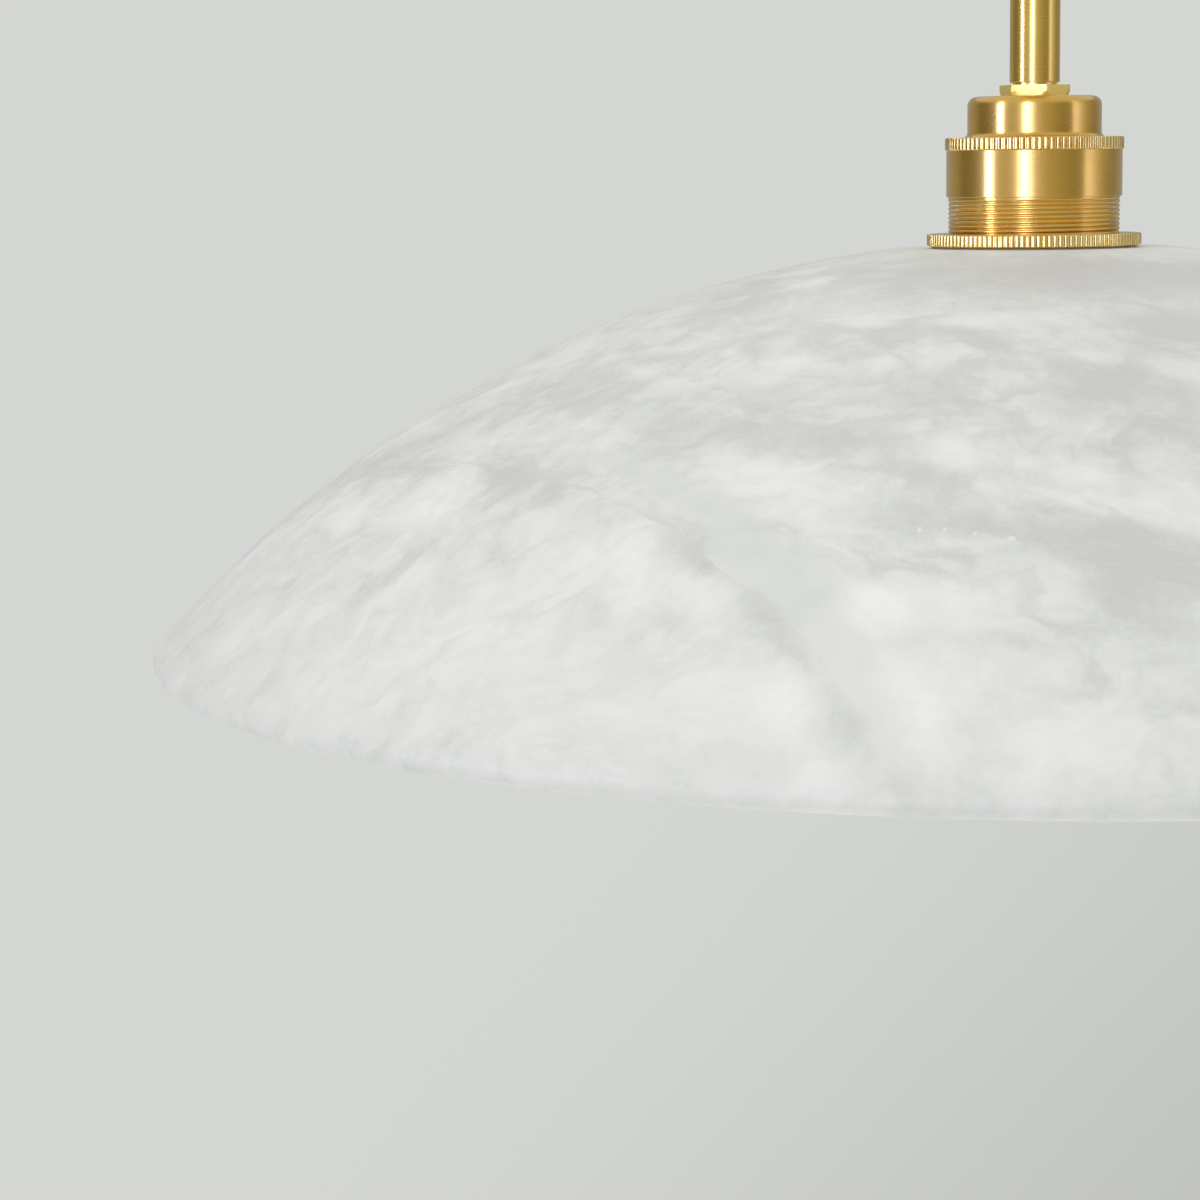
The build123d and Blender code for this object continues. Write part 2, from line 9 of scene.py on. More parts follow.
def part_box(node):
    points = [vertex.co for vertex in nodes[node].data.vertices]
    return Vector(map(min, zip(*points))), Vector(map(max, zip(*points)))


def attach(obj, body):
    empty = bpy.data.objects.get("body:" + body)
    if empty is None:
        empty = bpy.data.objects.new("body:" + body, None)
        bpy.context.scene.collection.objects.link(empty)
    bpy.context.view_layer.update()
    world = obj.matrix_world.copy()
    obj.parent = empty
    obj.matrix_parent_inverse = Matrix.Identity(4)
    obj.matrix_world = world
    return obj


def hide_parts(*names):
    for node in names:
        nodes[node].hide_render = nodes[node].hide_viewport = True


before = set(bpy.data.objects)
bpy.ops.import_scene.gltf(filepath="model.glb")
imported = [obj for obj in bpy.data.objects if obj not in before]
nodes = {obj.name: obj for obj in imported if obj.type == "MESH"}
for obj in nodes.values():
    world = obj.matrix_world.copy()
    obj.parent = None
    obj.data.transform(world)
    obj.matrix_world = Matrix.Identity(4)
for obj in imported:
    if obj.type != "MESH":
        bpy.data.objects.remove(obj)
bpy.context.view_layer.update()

# Stone pendant light: the looks, in metres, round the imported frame.
mm = 0.001
print("frame loaded:", len(nodes), "nodes")


# Sizes read from the frame
def levels(node):
    # lowest z, highest z and largest radius of a round node
    low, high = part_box(node)
    return low.z, high.z, high.x


rodLow, rodHigh, rodRadius = levels("rod")
nutLow, nutHigh, _ = levels("lock_nut")
capLow, capHigh, flangeRadius = levels("lampholder_cap")
barrelLow, barrelHigh, barrelRadius = levels("lampholder_barrel")
ringLow, ringHigh, ringRadius = levels("upper_shade_ring")
lowRingLow, lowRingHigh, _ = levels("lower_shade_ring")
rimZ, seatZ, _ = levels("shade")
roseLow, roseHigh, roseRadius = levels("ceiling_rose")
glassLow, glassHigh, glassRadius = levels("bulb_glass")
bulbCapLow, bulbCapHigh, bulbCapRadius = levels("bulb_cap")
_, _, washerRadius = levels("upper_washer")


def pick(settings, *names):
    return [settings[name] for name in names]


def addObject(name, data):
    made = bpy.data.objects.new(name, data)
    bpy.context.scene.collection.objects.link(made)
    return made


# Camera: a long lens a little above the top of the dome, turned left and down
view = {"lens": 94.82, "sensor": 36.0, "nearest": 0.01, "away": 0.726, "aboveRim": 0.1099,
        "yaw": 7.838, "pitch": 7.767, "roll": -0.661}


def placeCamera(settings):
    yaw, pitch, roll = (math.radians(angle) for angle in pick(settings, "yaw", "pitch", "roll"))
    ahead = Vector((-math.sin(yaw) * math.cos(pitch), math.cos(yaw) * math.cos(pitch), -math.sin(pitch)))
    level = Vector((math.cos(yaw), math.sin(yaw), 0.0))
    upright = level.cross(ahead)
    right = level * math.cos(roll) + upright * math.sin(roll)
    up = upright * math.cos(roll) - level * math.sin(roll)
    lens = bpy.data.cameras.new("camera")
    lens.lens, lens.sensor_width, lens.clip_start = pick(settings, "lens", "sensor", "nearest")
    camera = addObject("camera", lens)
    place = Matrix.Translation((0.0, -settings["away"], rimZ + settings["aboveRim"]))
    camera.matrix_world = place @ Matrix((right, up, -ahead)).transposed().to_4x4()
    bpy.context.scene.camera = camera


placeCamera(view)
bpy.context.scene.view_settings.view_transform = "Standard"
print("camera placed")

# Surfaces: points closer than "merge" are one point; an arc takes up to "mostReach" of each run beside
# it, and its support points lie "beside" times its reach further out
surface = {"merge": 1e-7, "mostReach": 0.49, "beside": 0.35}


def evenTurns(count):
    return np.linspace(0, 2 * np.pi, count, endpoint=False)


def aroundAxis(radius, z, t):
    # grid of points x = r cos t, y = r sin t, z: a row for each height, a column for each angle
    radius, z, t = np.broadcast_arrays(radius, z, t)
    return np.stack([radius * np.cos(t), radius * np.sin(t), z], axis=-1)


def gridMesh(name, points, wrapRows, sharpAngle):
    # points[row, column] -> quads between neighbours; columns wrap round the axis, and in an open
    # grid the rows at a pole are merged to one point
    rows, columns = points.shape[:2]
    index = np.arange(rows * columns).reshape(rows, columns)
    here = index if wrapRows else index[:-1]
    after = np.roll(index, -1, axis=0) if wrapRows else index[1:]
    quads = np.stack([here, np.roll(here, -1, 1), np.roll(after, -1, 1), after], axis=-1).reshape(-1, 4)
    mesh = bpy.data.meshes.new(name)
    mesh.vertices.add(rows * columns)
    mesh.vertices.foreach_set("co", points.astype(np.float32).ravel())
    mesh.loops.add(quads.size)
    mesh.loops.foreach_set("vertex_index", quads.ravel().astype(np.int32))
    mesh.polygons.add(len(quads))
    mesh.polygons.foreach_set("loop_start", np.arange(0, quads.size, 4, dtype=np.int32))
    mesh.update(calc_edges=True)
    if not wrapRows:
        work = bmesh.new()
        work.from_mesh(mesh)
        bmesh.ops.remove_doubles(work, verts=work.verts, dist=surface["merge"])
        work.to_mesh(mesh)
        work.free()
    mesh.validate()
    mesh.shade_smooth()
    mesh.set_sharp_from_angle(angle=math.radians(sharpAngle))
    return addObject(name, mesh)


def roundedProfile(corners, steps=4):
    # corners (r, z, radius) -> closed polyline whose corners are tangent arcs with a support point at
    # each end: centre + (first * sin((1 - s) a) + last * sin(s a)) / sin(a), s from 0 to 1
    outline = []
    for i, (r, z, radius) in enumerate(corners):
        here = np.array((r, z))
        if radius == 0:
            outline.append(here[None])
            continue
        back = np.array(corners[i - 1][:2]) - here
        ahead = np.array(corners[(i + 1) % len(corners)][:2]) - here
        backLength, aheadLength = np.linalg.norm(back), np.linalg.norm(ahead)
        back, ahead = back / backLength, ahead / aheadLength
        half = 0.5 * math.acos(max(-1.0, min(1.0, float(back @ ahead))))
        reach = min(radius / math.tan(half), surface["mostReach"] * min(backLength, aheadLength))
        centre = here + (back + ahead) / np.linalg.norm(back + ahead) * reach / math.cos(half)
        share = np.linspace(0.0, 1.0, steps + 1)[:, None]
        sweep = math.pi - 2.0 * half
        first = here + back * reach - centre
        last = here + ahead * reach - centre
        arc = np.sin((1 - share) * sweep) * first + np.sin(share * sweep) * last
        arc = centre + arc / math.sin(sweep)
        support = reach + surface["beside"] * reach
        before = here + back * min(support, 0.5 * backLength)
        beyond = here + ahead * min(support, 0.5 * aheadLength)
        outline += [before[None], arc, beyond[None]]
    outline = np.concatenate(outline)
    keep = np.ones(len(outline), bool)
    keep[1:] = np.linalg.norm(np.diff(outline, axis=0), axis=1) > surface["merge"]
    return outline[keep]


def turned(name, profile, turns, shape=None, closed=True, grooveShading=0.0, sharpAngle=32.0):
    # (r, z) profile carried round z: x = r cos t, y = r sin t; shape(r, z, t) may cut r back
    r, z = profile[:, 0], profile[:, 1]
    area = np.sum(r * np.roll(z, -1) - np.roll(r, -1) * z)
    if area < 0:
        r, z = r[::-1], z[::-1]
    t = evenTurns(turns) if np.isscalar(turns) else turns
    radius = np.repeat(r[:, None], len(t), axis=1)
    if shape is not None:
        radius = shape(radius, z[:, None], t[None, :])
    piece = gridMesh(name, aroundAxis(radius, z[:, None], t[None, :]), closed, sharpAngle)
    if grooveShading:
        # how deep each vertex is cut, scaled from 0 to the given strength, for the finish to paint shade
        # into the grooves
        depth = r[:, None] - radius
        marks = piece.data.attributes.new("cut", "FLOAT", "POINT")
        marks.data.foreach_set("value", (grooveShading * depth / depth.max()).astype(np.float32).ravel())
    return piece


# Straight knurl of the flange and the rings; "shares" are the samples on every tooth
tooth = {"depth": 0.35 * mm, "crown": 4.5, "shares": (0.0, 0.05, 0.12, 0.26, 0.5, 0.74, 0.88, 0.95)}


def knurl(outer, teeth):
    # angles of the samples, and r <= outer - depth * |2 share - 1| ** crown: rounded teeth, sharp grooves
    turns = ((np.arange(teeth)[:, None] + np.array(tooth["shares"])[None, :]) * 2 * np.pi / teeth).ravel()

    def cut(r, z, t):
        share = np.mod(t * teeth / (2 * np.pi), 1.0)
        return np.minimum(r, outer - tooth["depth"] * np.abs(2 * share - 1) ** tooth["crown"])
    return turns, cut


def threadCut(low, high, thread, outer=None):
    # right-hand thread: r - depth * (1 - cos(2 pi z / pitch - t)) / 2, faded over a pitch at its ends;
    # with an outer radius it is cut into that cylinder and leaves what lies deeper
    def cut(r, z, t):
        pitch, depth = pick(thread, "pitch", "depth")
        wave = 0.5 - 0.5 * np.cos(2 * np.pi * z / pitch - t)
        ends = np.clip((z - low) / pitch, 0, 1) * np.clip((high - z) / pitch, 0, 1)
        groove = depth * wave * ends
        threaded = r - groove if outer is None else np.minimum(r, outer - groove)
        return np.where(ends > 0, threaded, r)
    return cut


# Material helpers
def fill(tree, node, inputs):
    # each input is given a value or linked to a socket
    for key, value in inputs.items():
        socket = node.inputs[key]
        if isinstance(value, bpy.types.NodeSocket):
            tree.links.new(value, socket)
        else:
            socket.default_value = value


def put(tree, kind, inputs=None, **plain):
    # one shader node of a kind, with its plain settings and its inputs
    made = tree.nodes.new("ShaderNode" + kind)
    for key, value in plain.items():
        setattr(made, key, value)
    fill(tree, made, inputs or {})
    return made


def calc(tree, operation, a, b=0.0, c=0.0):
    return put(tree, "Math", {0: a, 1: b, 2: c}, operation=operation).outputs[0]


def times(tree, a, b):
    return calc(tree, "MULTIPLY", a, b)


def timesAdd(tree, a, b, c):
    return calc(tree, "MULTIPLY_ADD", a, b, c)


def fromHalf(tree, value):
    return calc(tree, "SUBTRACT", value, 0.5)


def vec(tree, operation, a, b=(0, 0, 0), c=(0, 0, 0)):
    inputs = {0: a, 1: b}
    if operation == "MULTIPLY_ADD":
        inputs[2] = c
    made = put(tree, "VectorMath", inputs, operation=operation)
    return made.outputs["Value" if operation in ("DOT_PRODUCT", "LENGTH") else "Vector"]


def fade(tree, value, low, high, start=0.0, end=1.0):
    # smooth step from "start" at low to "end" at high
    inputs = {"Value": value, "From Min": low, "From Max": high, "To Min": start, "To Max": end}
    return put(tree, "MapRange", inputs, interpolation_type="SMOOTHSTEP").outputs["Result"]


def noise(tree, vector, scale, detail=4.0, rough=0.5, output="Fac"):
    inputs = {"Vector": vector, "Scale": scale, "Detail": detail, "Roughness": rough}
    return put(tree, "TexNoise", inputs).outputs[output]


def attribute(tree, name):
    return put(tree, "Attribute", attribute_name=name).outputs["Fac"]


def blendColour(tree, factor, a, b):
    return put(tree, "Mix", {0: factor, 6: a, 7: b}, data_type="RGBA").outputs[2]


def ramp(tree, value, stops):
    made = put(tree, "ValToRGB", {"Fac": value})
    elements = made.color_ramp.elements
    while len(elements) < len(stops):
        elements.new(0.5)
    for element, (at, colour) in zip(elements, stops):
        element.position = at
        element.color = colour
    return made.outputs["Color"]


def bump(tree, height, strength, distance):
    made = put(tree, "Bump", {"Height": height, "Strength": strength, "Distance": distance})
    return made.outputs["Normal"]


def tone(red, green, blue):
    # a colour given as screen values 0-255, as the linear light that the shader takes
    share = np.array((red, green, blue)) / 255.0
    light = np.where(share <= 0.04045, share / 12.92, ((share + 0.055) / 1.055) ** 2.4)
    return (*light.tolist(), 1.0)


def newMaterial(name):
    material = bpy.data.materials.new(name)
    material.use_nodes = True
    tree = material.node_tree
    place = put(tree, "TexCoord").outputs["Object"]
    return material, tree, tree.nodes["Principled BSDF"], place


# Alabaster: puffy white clouds in a grey-green body, with a healed fault across it. Scales are noise
# swellings per metre, "puffs" are pairs of scale and weight, and four numbers are a fade: from, to and
# the value at each (0 and 1 if left out).
stone = {
    # the fault's unit normal in plan and its place, how it wavers and how it bends out near the rim
    "across": (0.737, 0.676), "faultAt": -145.2 * mm, "waverScale": 45.0, "waver": 7 * mm,
    "bend": (88 * mm, 120 * mm, 0.0, 3 * mm),
    # the clouds' lay (degrees, stretch) outside and inside the fault, and what pushes them about
    "outerLay": (0.0, (1.2, 0.95, 1.05)), "innerLay": (-35.0, (1.3, 0.95, 1.0)),
    "layChange": (-0.5 * mm, 0.5 * mm),
    "swirlScale": 17.0, "swirl": 35 * mm, "rippleScale": 80.0, "ripple": 10 * mm,
    # what adds up to the cloudiness, and the fades of it by the fault and away from the axis
    "driftScale": 14.0, "drift": 0.4, "cloudiness": 0.375, "whiter": (-12 * mm, -2 * mm, 0.06, 0.0),
    "shading": (-5 * mm, -0.6 * mm, 0.0, -0.09), "shadingAlong": (45 * mm, 75 * mm),
    "shadingEnd": (-0.6 * mm, 0.4 * mm, 1.0, 0.0),
    "calmRim": (155 * mm, 195 * mm, 1.0, 0.62), "calmTop": (70 * mm, 110 * mm, 0.75, 1.0),
    "puffs": ((23.0, 0.62), (48.0, 0.6), (97.0, 0.6), (200.0, 0.5)), "puffMiddle": 0.105,
    "puffSoftness": 0.0006, "laceScale": 120.0, "lace": 0.66, "veinScale": 42.0, "vein": -0.13,
    "veinWidth": (0.0, 0.06, 1.0, 0.0), "breakScale": 38.0, "breaks": (0.40, 0.62),
    "speckleScale": 900.0, "speckle": (0.2, 0.6, 0.3, 0.12),
    # the healed band beside the fault and the dark line along it
    "bandWidth": (0.0, 60 * mm, 6 * mm, 11 * mm), "bandTaper": (90 * mm, 125 * mm, 0.0, -7 * mm),
    "bandWander": 20 * mm, "bandFar": (-3 * mm, 4 * mm, 0.7, 0.0), "bandNear": (-2.5 * mm, 1.2 * mm),
    "bandStep": (55 * mm, 85 * mm, 6 * mm, 0.0), "bandStart": (-75 * mm, -20 * mm, 0.35, 1.0),
    "stripAlong": (85 * mm, 115 * mm), "lineWidth": (0.2 * mm, 1.2 * mm, 0.6, 0.0),
    "lineStart": (20 * mm, 60 * mm, 0.1, 1.0), "lineEnd": (84 * mm, 104 * mm, 1.0, 0.2),
    # colours, those of the clouds with the cloudiness that they stand for
    "deep": tone(206, 207, 205), "body": tone(214, 216, 213), "pale": tone(222, 224, 221),
    "white": tone(229, 229, 227), "bright": tone(239, 239, 238), "toneAt": (0.05, 0.28, 0.42, 0.56, 0.9),
    "band": tone(218, 221, 218), "strip": tone(227, 228, 225), "line": tone(199, 202, 199),
    "stain": tone(205, 203, 201), "stainBetween": (0.3, 0.6, 0.85, 0.1),
    # polish: streaks, flecks, gloss and relief
    "streakLay": (0.4, 0.3, 0.62), "streakScale": (170.0, 1500.0, 700.0), "streak": (0.52, 0.8, 0.0, 0.22),
    "fleckWaver": 4 * mm, "fleckCover": 0.6, "fleckCore": 0.3, "rough": (0.3, 0.8, 0.61, 0.48),
    "gloss": 0.28, "glossTint": (1.0, 0.98, 0.62, 1.0),
    "streakRelief": 0.7, "relief": 0.16, "reliefDepth": 0.25 * mm,
}
# soft strokes in plan: x, y, half length, half width (mm), turn (degrees), strength (hundredths)
cloudStrokes = [
    (-108, -142, 70, 26, -43, 13), (-120, -99, 15, 8, -48, 32), (-138, -80, 11, 7, -50, 18),
    (-123, -128, 14, 7, 35, 6), (-101, -150, 20, 9, -30, 14), (-86, -166, 18, 8, -30, 12),
    (-74, -150, 13, 7, -35, 10), (-58, -160, 9, 6, -40, 36), (-57, -179, 12, 6, -20, 10),
    (-42, -184, 8, 6, -60, 32), (-162, -95, 12, 8, -60, 14), (-117, -47, 10, 6, -55, 20),
    (-135, -33, 12, 5, -70, 14), (-50, -28, 7, 6, -30, 20), (-48, -44, 9, 4, 10, 22),
    (-66, -46, 6, 5, -60, 14), (-78, -82, 7, 4, -40, 18), (-71, -93, 9, 4, -25, 18),
    (-48, -95, 10, 6, -20, 24), (-31, -81, 6, 5, -10, 22), (-9, -85, 12, 5, 0, 24),
    (-20, -101, 14, 6, -10, 18), (-5, -110, 10, 5, -5, 22), (-58, -124, 6, 3, -10, 24),
    (-46, -137, 24, 8, -33, 40), (-14, -133, 12, 6, -10, 30), (8, -142, 22, 8, -12, 26),
    (28, -147, 14, 7, -15, 26), (-28, -168, 8, 6, -20, 46), (-14, -168, 18, 7, -5, 30),
    (8, -192, 28, 6, 2, 24), (-20, -186, 12, 4, -55, 17), (-54, -172, 14, 9, -35, 11),
    (-20, -182, 14, 7, -10, 20), (-8, -181, 12, 6, 0, 18), (-22, -192, 12, 6, 0, 18),
    (-113, -82, 14, 8, -45, 20), (-78, -143, 10, 6, -35, 12), (6, -128, 12, 5, -8, 20),
    (-38, -174, 10, 6, -45, 9), (-62, -176, 20, 9, -25, 5), (-35, -194, 6, 4, -30, 16),
    (-118, -152, 40, 10, -40, 8), (-24, -156, 9, 5, -10, 10), (22, -187, 8, 7, 0, 14),
]
greyStrokes = [
    (-128, -76, 18, 3, -47, 20), (-96, -115, 20, 7, -44, 20), (-107, -101, 12, 4, -48, 28),
    (-63, -148, 12, 4, -42, 28), (-46, -168, 9, 3, -48, 16), (-108, -133, 16, 10, -40, 6),
    (18, -157, 24, 7, -12, 42), (-10, -152, 14, 4, -8, 16), (21, -168, 15, 8, -8, 32),
    (14, -112, 18, 9, -10, 30), (24, -124, 10, 5, -20, 8), (-71, -112, 15, 11, -40, 16),
    (-95, -72, 18, 8, -45, 8), (5, -58, 44, 20, 0, 23), (-64, -52, 12, 7, -20, 14),
    (-60, -28, 10, 3, -70, 20), (-37, -41, 8, 4, 60, 24), (24, -88, 18, 11, 0, 28),
    (-110, -20, 14, 3, -75, 20), (-125, -117, 12, 4, 12, 15), (8, -176, 8, 4, 0, 8),
    (-41, -175, 7, 3, -50, 17), (-31, -189, 10, 4, -50, 16), (-20, -197, 7, 3, -48, 20),
]
stainStrokes = [
    (-53, -115, 10, 6, -20, 90), (-38, -125, 14, 6, -25, 90), (-21, -139, 9, 4, -30, 80),
    (-11, -118, 11, 3, 5, 80), (-7, -97, 11, 3, -20, 60), (-125, -117, 9, 3, 15, 50),
    (0, -52, 40, 16, 0, 35), (-62, -45, 14, 12, 0, 50), (-36, -42, 7, 6, 0, 50),
    (-60, -28, 9, 3, -70, 50),
]
# the strokes fill the front left of the dome, and turned copies of them the rest: degrees, mirrored or not
strokeCopies = [(0.0, 1.0), (32.0, -1.0), (205.0, 1.0)]
# white flecks in plan: x, y, radius (mm)
fleckPlaces = [(-20.3, -152.5, 0.8), (-15.3, -153.3, 0.6), (-9.7, -155.0, 0.7), (-3.7, -156.3, 1.1)]
strokeEdge = {"outer": 1.3, "inner": 0.15}


def strokeField(points, strokes):
    # sum of strength * smoothstep(outer -> inner) of the elliptic distance to each stroke, in plan
    total = np.zeros(len(points))
    for turn, mirror in strokeCopies:
        turnCos, turnSin = math.cos(math.radians(turn)), math.sin(math.radians(turn))
        planX = (points[:, 0] * turnCos + points[:, 1] * turnSin) * mirror / mm
        planY = (points[:, 1] * turnCos - points[:, 0] * turnSin) / mm
        for x, y, halfLength, halfWidth, lean, strength in strokes:
            leanCos, leanSin = math.cos(math.radians(lean)), math.sin(math.radians(lean))
            reach = np.hypot(((planX - x) * leanCos + (planY - y) * leanSin) / halfLength,
                             ((planY - y) * leanCos - (planX - x) * leanSin) / halfWidth)
            share = (strokeEdge["outer"] - reach) / (strokeEdge["outer"] - strokeEdge["inner"])
            share = np.clip(share, 0.0, 1.0)
            total += strength / 100 * share ** 2 * (3.0 - 2.0 * share)
    return total


def paintStrokes(piece):
    # stores how cloudy and how stained each vertex is, for the material to read
    mesh = piece.data
    points = np.empty(len(mesh.vertices) * 3)
    mesh.vertices.foreach_get("co", points)
    points = points.reshape(-1, 3)
    cloudy = strokeField(points, cloudStrokes) - strokeField(points, greyStrokes)
    for name, values in (("cloudy", cloudy), ("stained", strokeField(points, stainStrokes))):
        mesh.attributes.new(name, "FLOAT", "POINT").data.foreach_set("value", values.astype(np.float32))


def faultLines(tree, place, look):
    # distance to the fault, a little wavy and bent out near the rim, and the way along it
    across = look["across"]
    waver = fromHalf(tree, noise(tree, place, look["waverScale"], 4.0, 0.6))
    straight = vec(tree, "DOT_PRODUCT", place, (across[0], across[1], 0.0))
    fault = calc(tree, "SUBTRACT", straight, look["faultAt"])
    fault = timesAdd(tree, waver, look["waver"], fault)
    along = vec(tree, "DOT_PRODUCT", place, (across[1], -across[0], 0.0))
    return calc(tree, "ADD", fault, fade(tree, along, *look["bend"])), along


def cloudFlow(tree, place, look, fault):
    # the place, pushed about by two noises so that the clouds swirl; they lie one way outside the
    # fault and another way inside it
    swirl = vec(tree, "SUBTRACT", noise(tree, place, look["swirlScale"], 3.0, 0.5, "Color"), (0.5,) * 3)
    ripple = vec(tree, "SUBTRACT", noise(tree, place, look["rippleScale"], 4.0, 0.6, "Color"), (0.5,) * 3)
    warped = vec(tree, "MULTIPLY_ADD", swirl, (look["swirl"],) * 3, place)
    warped = vec(tree, "MULTIPLY_ADD", ripple, (look["ripple"],) * 3, warped)
    lays = []
    for turn, stretch in pick(look, "outerLay", "innerLay"):
        inputs = {"Vector": warped, "Rotation": (0.0, 0.0, math.radians(turn)), "Scale": stretch}
        lays.append(put(tree, "Mapping", inputs, vector_type="TEXTURE").outputs[0])
    inner = fade(tree, fault, *look["layChange"])
    flow = put(tree, "Mix", {0: inner, 4: lays[0], 5: lays[1]}, data_type="VECTOR").outputs[1]
    return flow, ripple


def cloudAmount(tree, place, flow, look, fault, along):
    # how cloudy the stone is: strokes and drift first, a little whiter towards the fault and shaded at it
    drift = fromHalf(tree, noise(tree, flow, look["driftScale"], 2.0))
    cloud = timesAdd(tree, drift, look["drift"], look["cloudiness"])
    cloud = calc(tree, "ADD", cloud, attribute(tree, "cloudy"))
    cloud = calc(tree, "ADD", cloud, fade(tree, fault, *look["whiter"]))
    shaded = fade(tree, fault, *look["shading"])
    shaded = times(tree, shaded, fade(tree, along, *look["shadingAlong"]))
    cloud = timesAdd(tree, shaded, fade(tree, fault, *look["shadingEnd"]), cloud)
    # puffs: distances of four noises from their middle, so that soft creases part round swellings,
    # calmer near the rim and the top
    fromAxis = vec(tree, "LENGTH", vec(tree, "MULTIPLY", place, (1.0, 1.0, 0.0)))
    calmRim = fade(tree, fromAxis, *look["calmRim"])
    calm = times(tree, calmRim, fade(tree, fromAxis, *look["calmTop"]))
    for scale, weight in look["puffs"]:
        middle = fromHalf(tree, noise(tree, flow, scale, 0.0))
        puff = calc(tree, "SQRT", timesAdd(tree, middle, middle, look["puffSoftness"]))
        puff = times(tree, calc(tree, "SUBTRACT", puff, look["puffMiddle"]), calm)
        cloud = timesAdd(tree, puff, weight, cloud)
    lace = fromHalf(tree, noise(tree, flow, look["laceScale"], 6.0, 0.7))
    cloud = timesAdd(tree, times(tree, lace, calm), look["lace"], cloud)
    # soft broken veins where another noise crosses its middle
    crossing = calc(tree, "ABSOLUTE", fromHalf(tree, noise(tree, flow, look["veinScale"], 2.0, 0.45)))
    broken = fade(tree, noise(tree, place, look["breakScale"], 2.0), *look["breaks"])
    vein = times(tree, fade(tree, crossing, *look["veinWidth"]), broken)
    cloud = timesAdd(tree, vein, look["vein"], cloud)
    # speckle, stronger in the grey
    speckle = noise(tree, place, look["speckleScale"], 2.0, 0.6)
    strength = fade(tree, cloud, *look["speckle"])
    return timesAdd(tree, fromHalf(tree, speckle), strength, cloud), drift, broken, speckle


def healedBand(tree, colour, look, fault, along, drift, broken):
    # the band on the inner side of the fault: smooth and pale, with a thin dark line along it
    width = calc(tree, "ADD", fade(tree, along, *look["bandWidth"]), fade(tree, along, *look["bandTaper"]))
    width = timesAdd(tree, drift, look["bandWander"], width)
    band = fade(tree, calc(tree, "SUBTRACT", fault, width), *look["bandFar"])
    start = calc(tree, "SUBTRACT", fault, fade(tree, along, *look["bandStep"]))
    band = times(tree, band, fade(tree, start, *look["bandNear"]))
    band = times(tree, band, fade(tree, along, *look["bandStart"]))
    bandColour = blendColour(tree, fade(tree, along, *look["stripAlong"]), look["band"], look["strip"])
    colour = blendColour(tree, band, colour, bandColour)
    dark = fade(tree, calc(tree, "ABSOLUTE", fault), *look["lineWidth"])
    for cover in (broken, fade(tree, along, *look["lineStart"]), fade(tree, along, *look["lineEnd"])):
        dark = times(tree, dark, cover)
    return blendColour(tree, dark, colour, look["line"])


def alabaster(look):
    material, tree, shader, place = newMaterial("alabaster")
    fault, along = faultLines(tree, place, look)
    flow, ripple = cloudFlow(tree, place, look, fault)
    cloud, drift, broken, speckle = cloudAmount(tree, place, flow, look, fault, along)
    stops = zip(look["toneAt"], pick(look, "deep", "body", "pale", "white", "bright"))
    colour = ramp(tree, cloud, list(stops))
    # stains, strongest between the clouds
    between = fade(tree, cloud, *look["stainBetween"])
    stain = times(tree, attribute(tree, "stained"), between)
    colour = blendColour(tree, stain, colour, look["stain"])
    colour = healedBand(tree, colour, look, fault, along, drift, broken)
    # short polishing streaks and a few white flecks
    inputs = {"Vector": place, "Rotation": look["streakLay"], "Scale": look["streakScale"]}
    streak = noise(tree, put(tree, "Mapping", inputs).outputs[0], 1.0, 3.0, 0.6)
    colour = blendColour(tree, fade(tree, streak, *look["streak"]), colour, look["white"])
    wavered = vec(tree, "MULTIPLY_ADD", ripple, (look["fleckWaver"],) * 3, place)
    plan = vec(tree, "MULTIPLY", wavered, (1.0, 1.0, 0.0))
    for x, y, radius in fleckPlaces:
        away = vec(tree, "LENGTH", vec(tree, "SUBTRACT", plan, (x * mm, y * mm, 0.0)))
        fleck = fade(tree, away, look["fleckCore"] * radius * mm, radius * mm, look["fleckCover"], 0.0)
        colour = blendColour(tree, fleck, colour, look["bright"])
    relief = timesAdd(tree, streak, look["streakRelief"], speckle)
    fill(tree, shader, {
        "Base Color": colour, "Roughness": fade(tree, streak, *look["rough"]),
        "Specular IOR Level": look["gloss"], "Specular Tint": look["glossTint"],
        "Normal": bump(tree, relief, look["relief"], look["reliefDepth"]),
    })
    return material


# Brass: turned finish with rings round the axis, slight clouding, brighter worn edges, and painted shade in
# the grooves and hollows
brassMarks = {"arm": 0.02, "cloudScale": 160.0, "grainScale": 2600.0, "patchScale": 420.0,
              "patches": (0.35, 0.6), "edges": (0.52, 0.6), "hollows": (0.42, 0.49, 1.0, 0.0)}


def newGroup(name, inputs, outputs):
    group = bpy.data.node_groups.new(name, "ShaderNodeTree")
    for way, sockets in (("INPUT", inputs), ("OUTPUT", outputs)):
        for label, kind in sockets.items():
            group.interface.new_socket(label, in_out=way, socket_type="NodeSocket" + kind)
    return group, group.nodes.new("NodeGroupInput").outputs, group.nodes.new("NodeGroupOutput")


def turningGroup(look):
    group, given, end = newGroup("turningMarks", {"Place": "Vector", "Fineness": "Float"},
                                 {"Rings": "Float", "Clouding": "Float", "Grain": "Float"})
    place = given["Place"]
    split = put(group, "SeparateXYZ", {0: place}).outputs
    flat = put(group, "CombineXYZ", {"X": split["X"], "Y": split["Y"]}).outputs[0]
    # rings depend on the height and the distance from the axis, and only slowly on the angle
    arm = vec(group, "MULTIPLY", flat, (look["arm"], look["arm"], 0.0))
    reach = vec(group, "LENGTH", flat)
    rings = put(group, "CombineXYZ", {"X": reach, "Y": split["Z"]}).outputs[0]
    fill(group, end, {"Rings": noise(group, vec(group, "ADD", rings, arm), given["Fineness"], 3.0),
                      "Clouding": noise(group, place, look["cloudScale"], 5.0, 0.6),
                      "Grain": noise(group, place, look["grainScale"], 2.0, 0.6)})
    return group


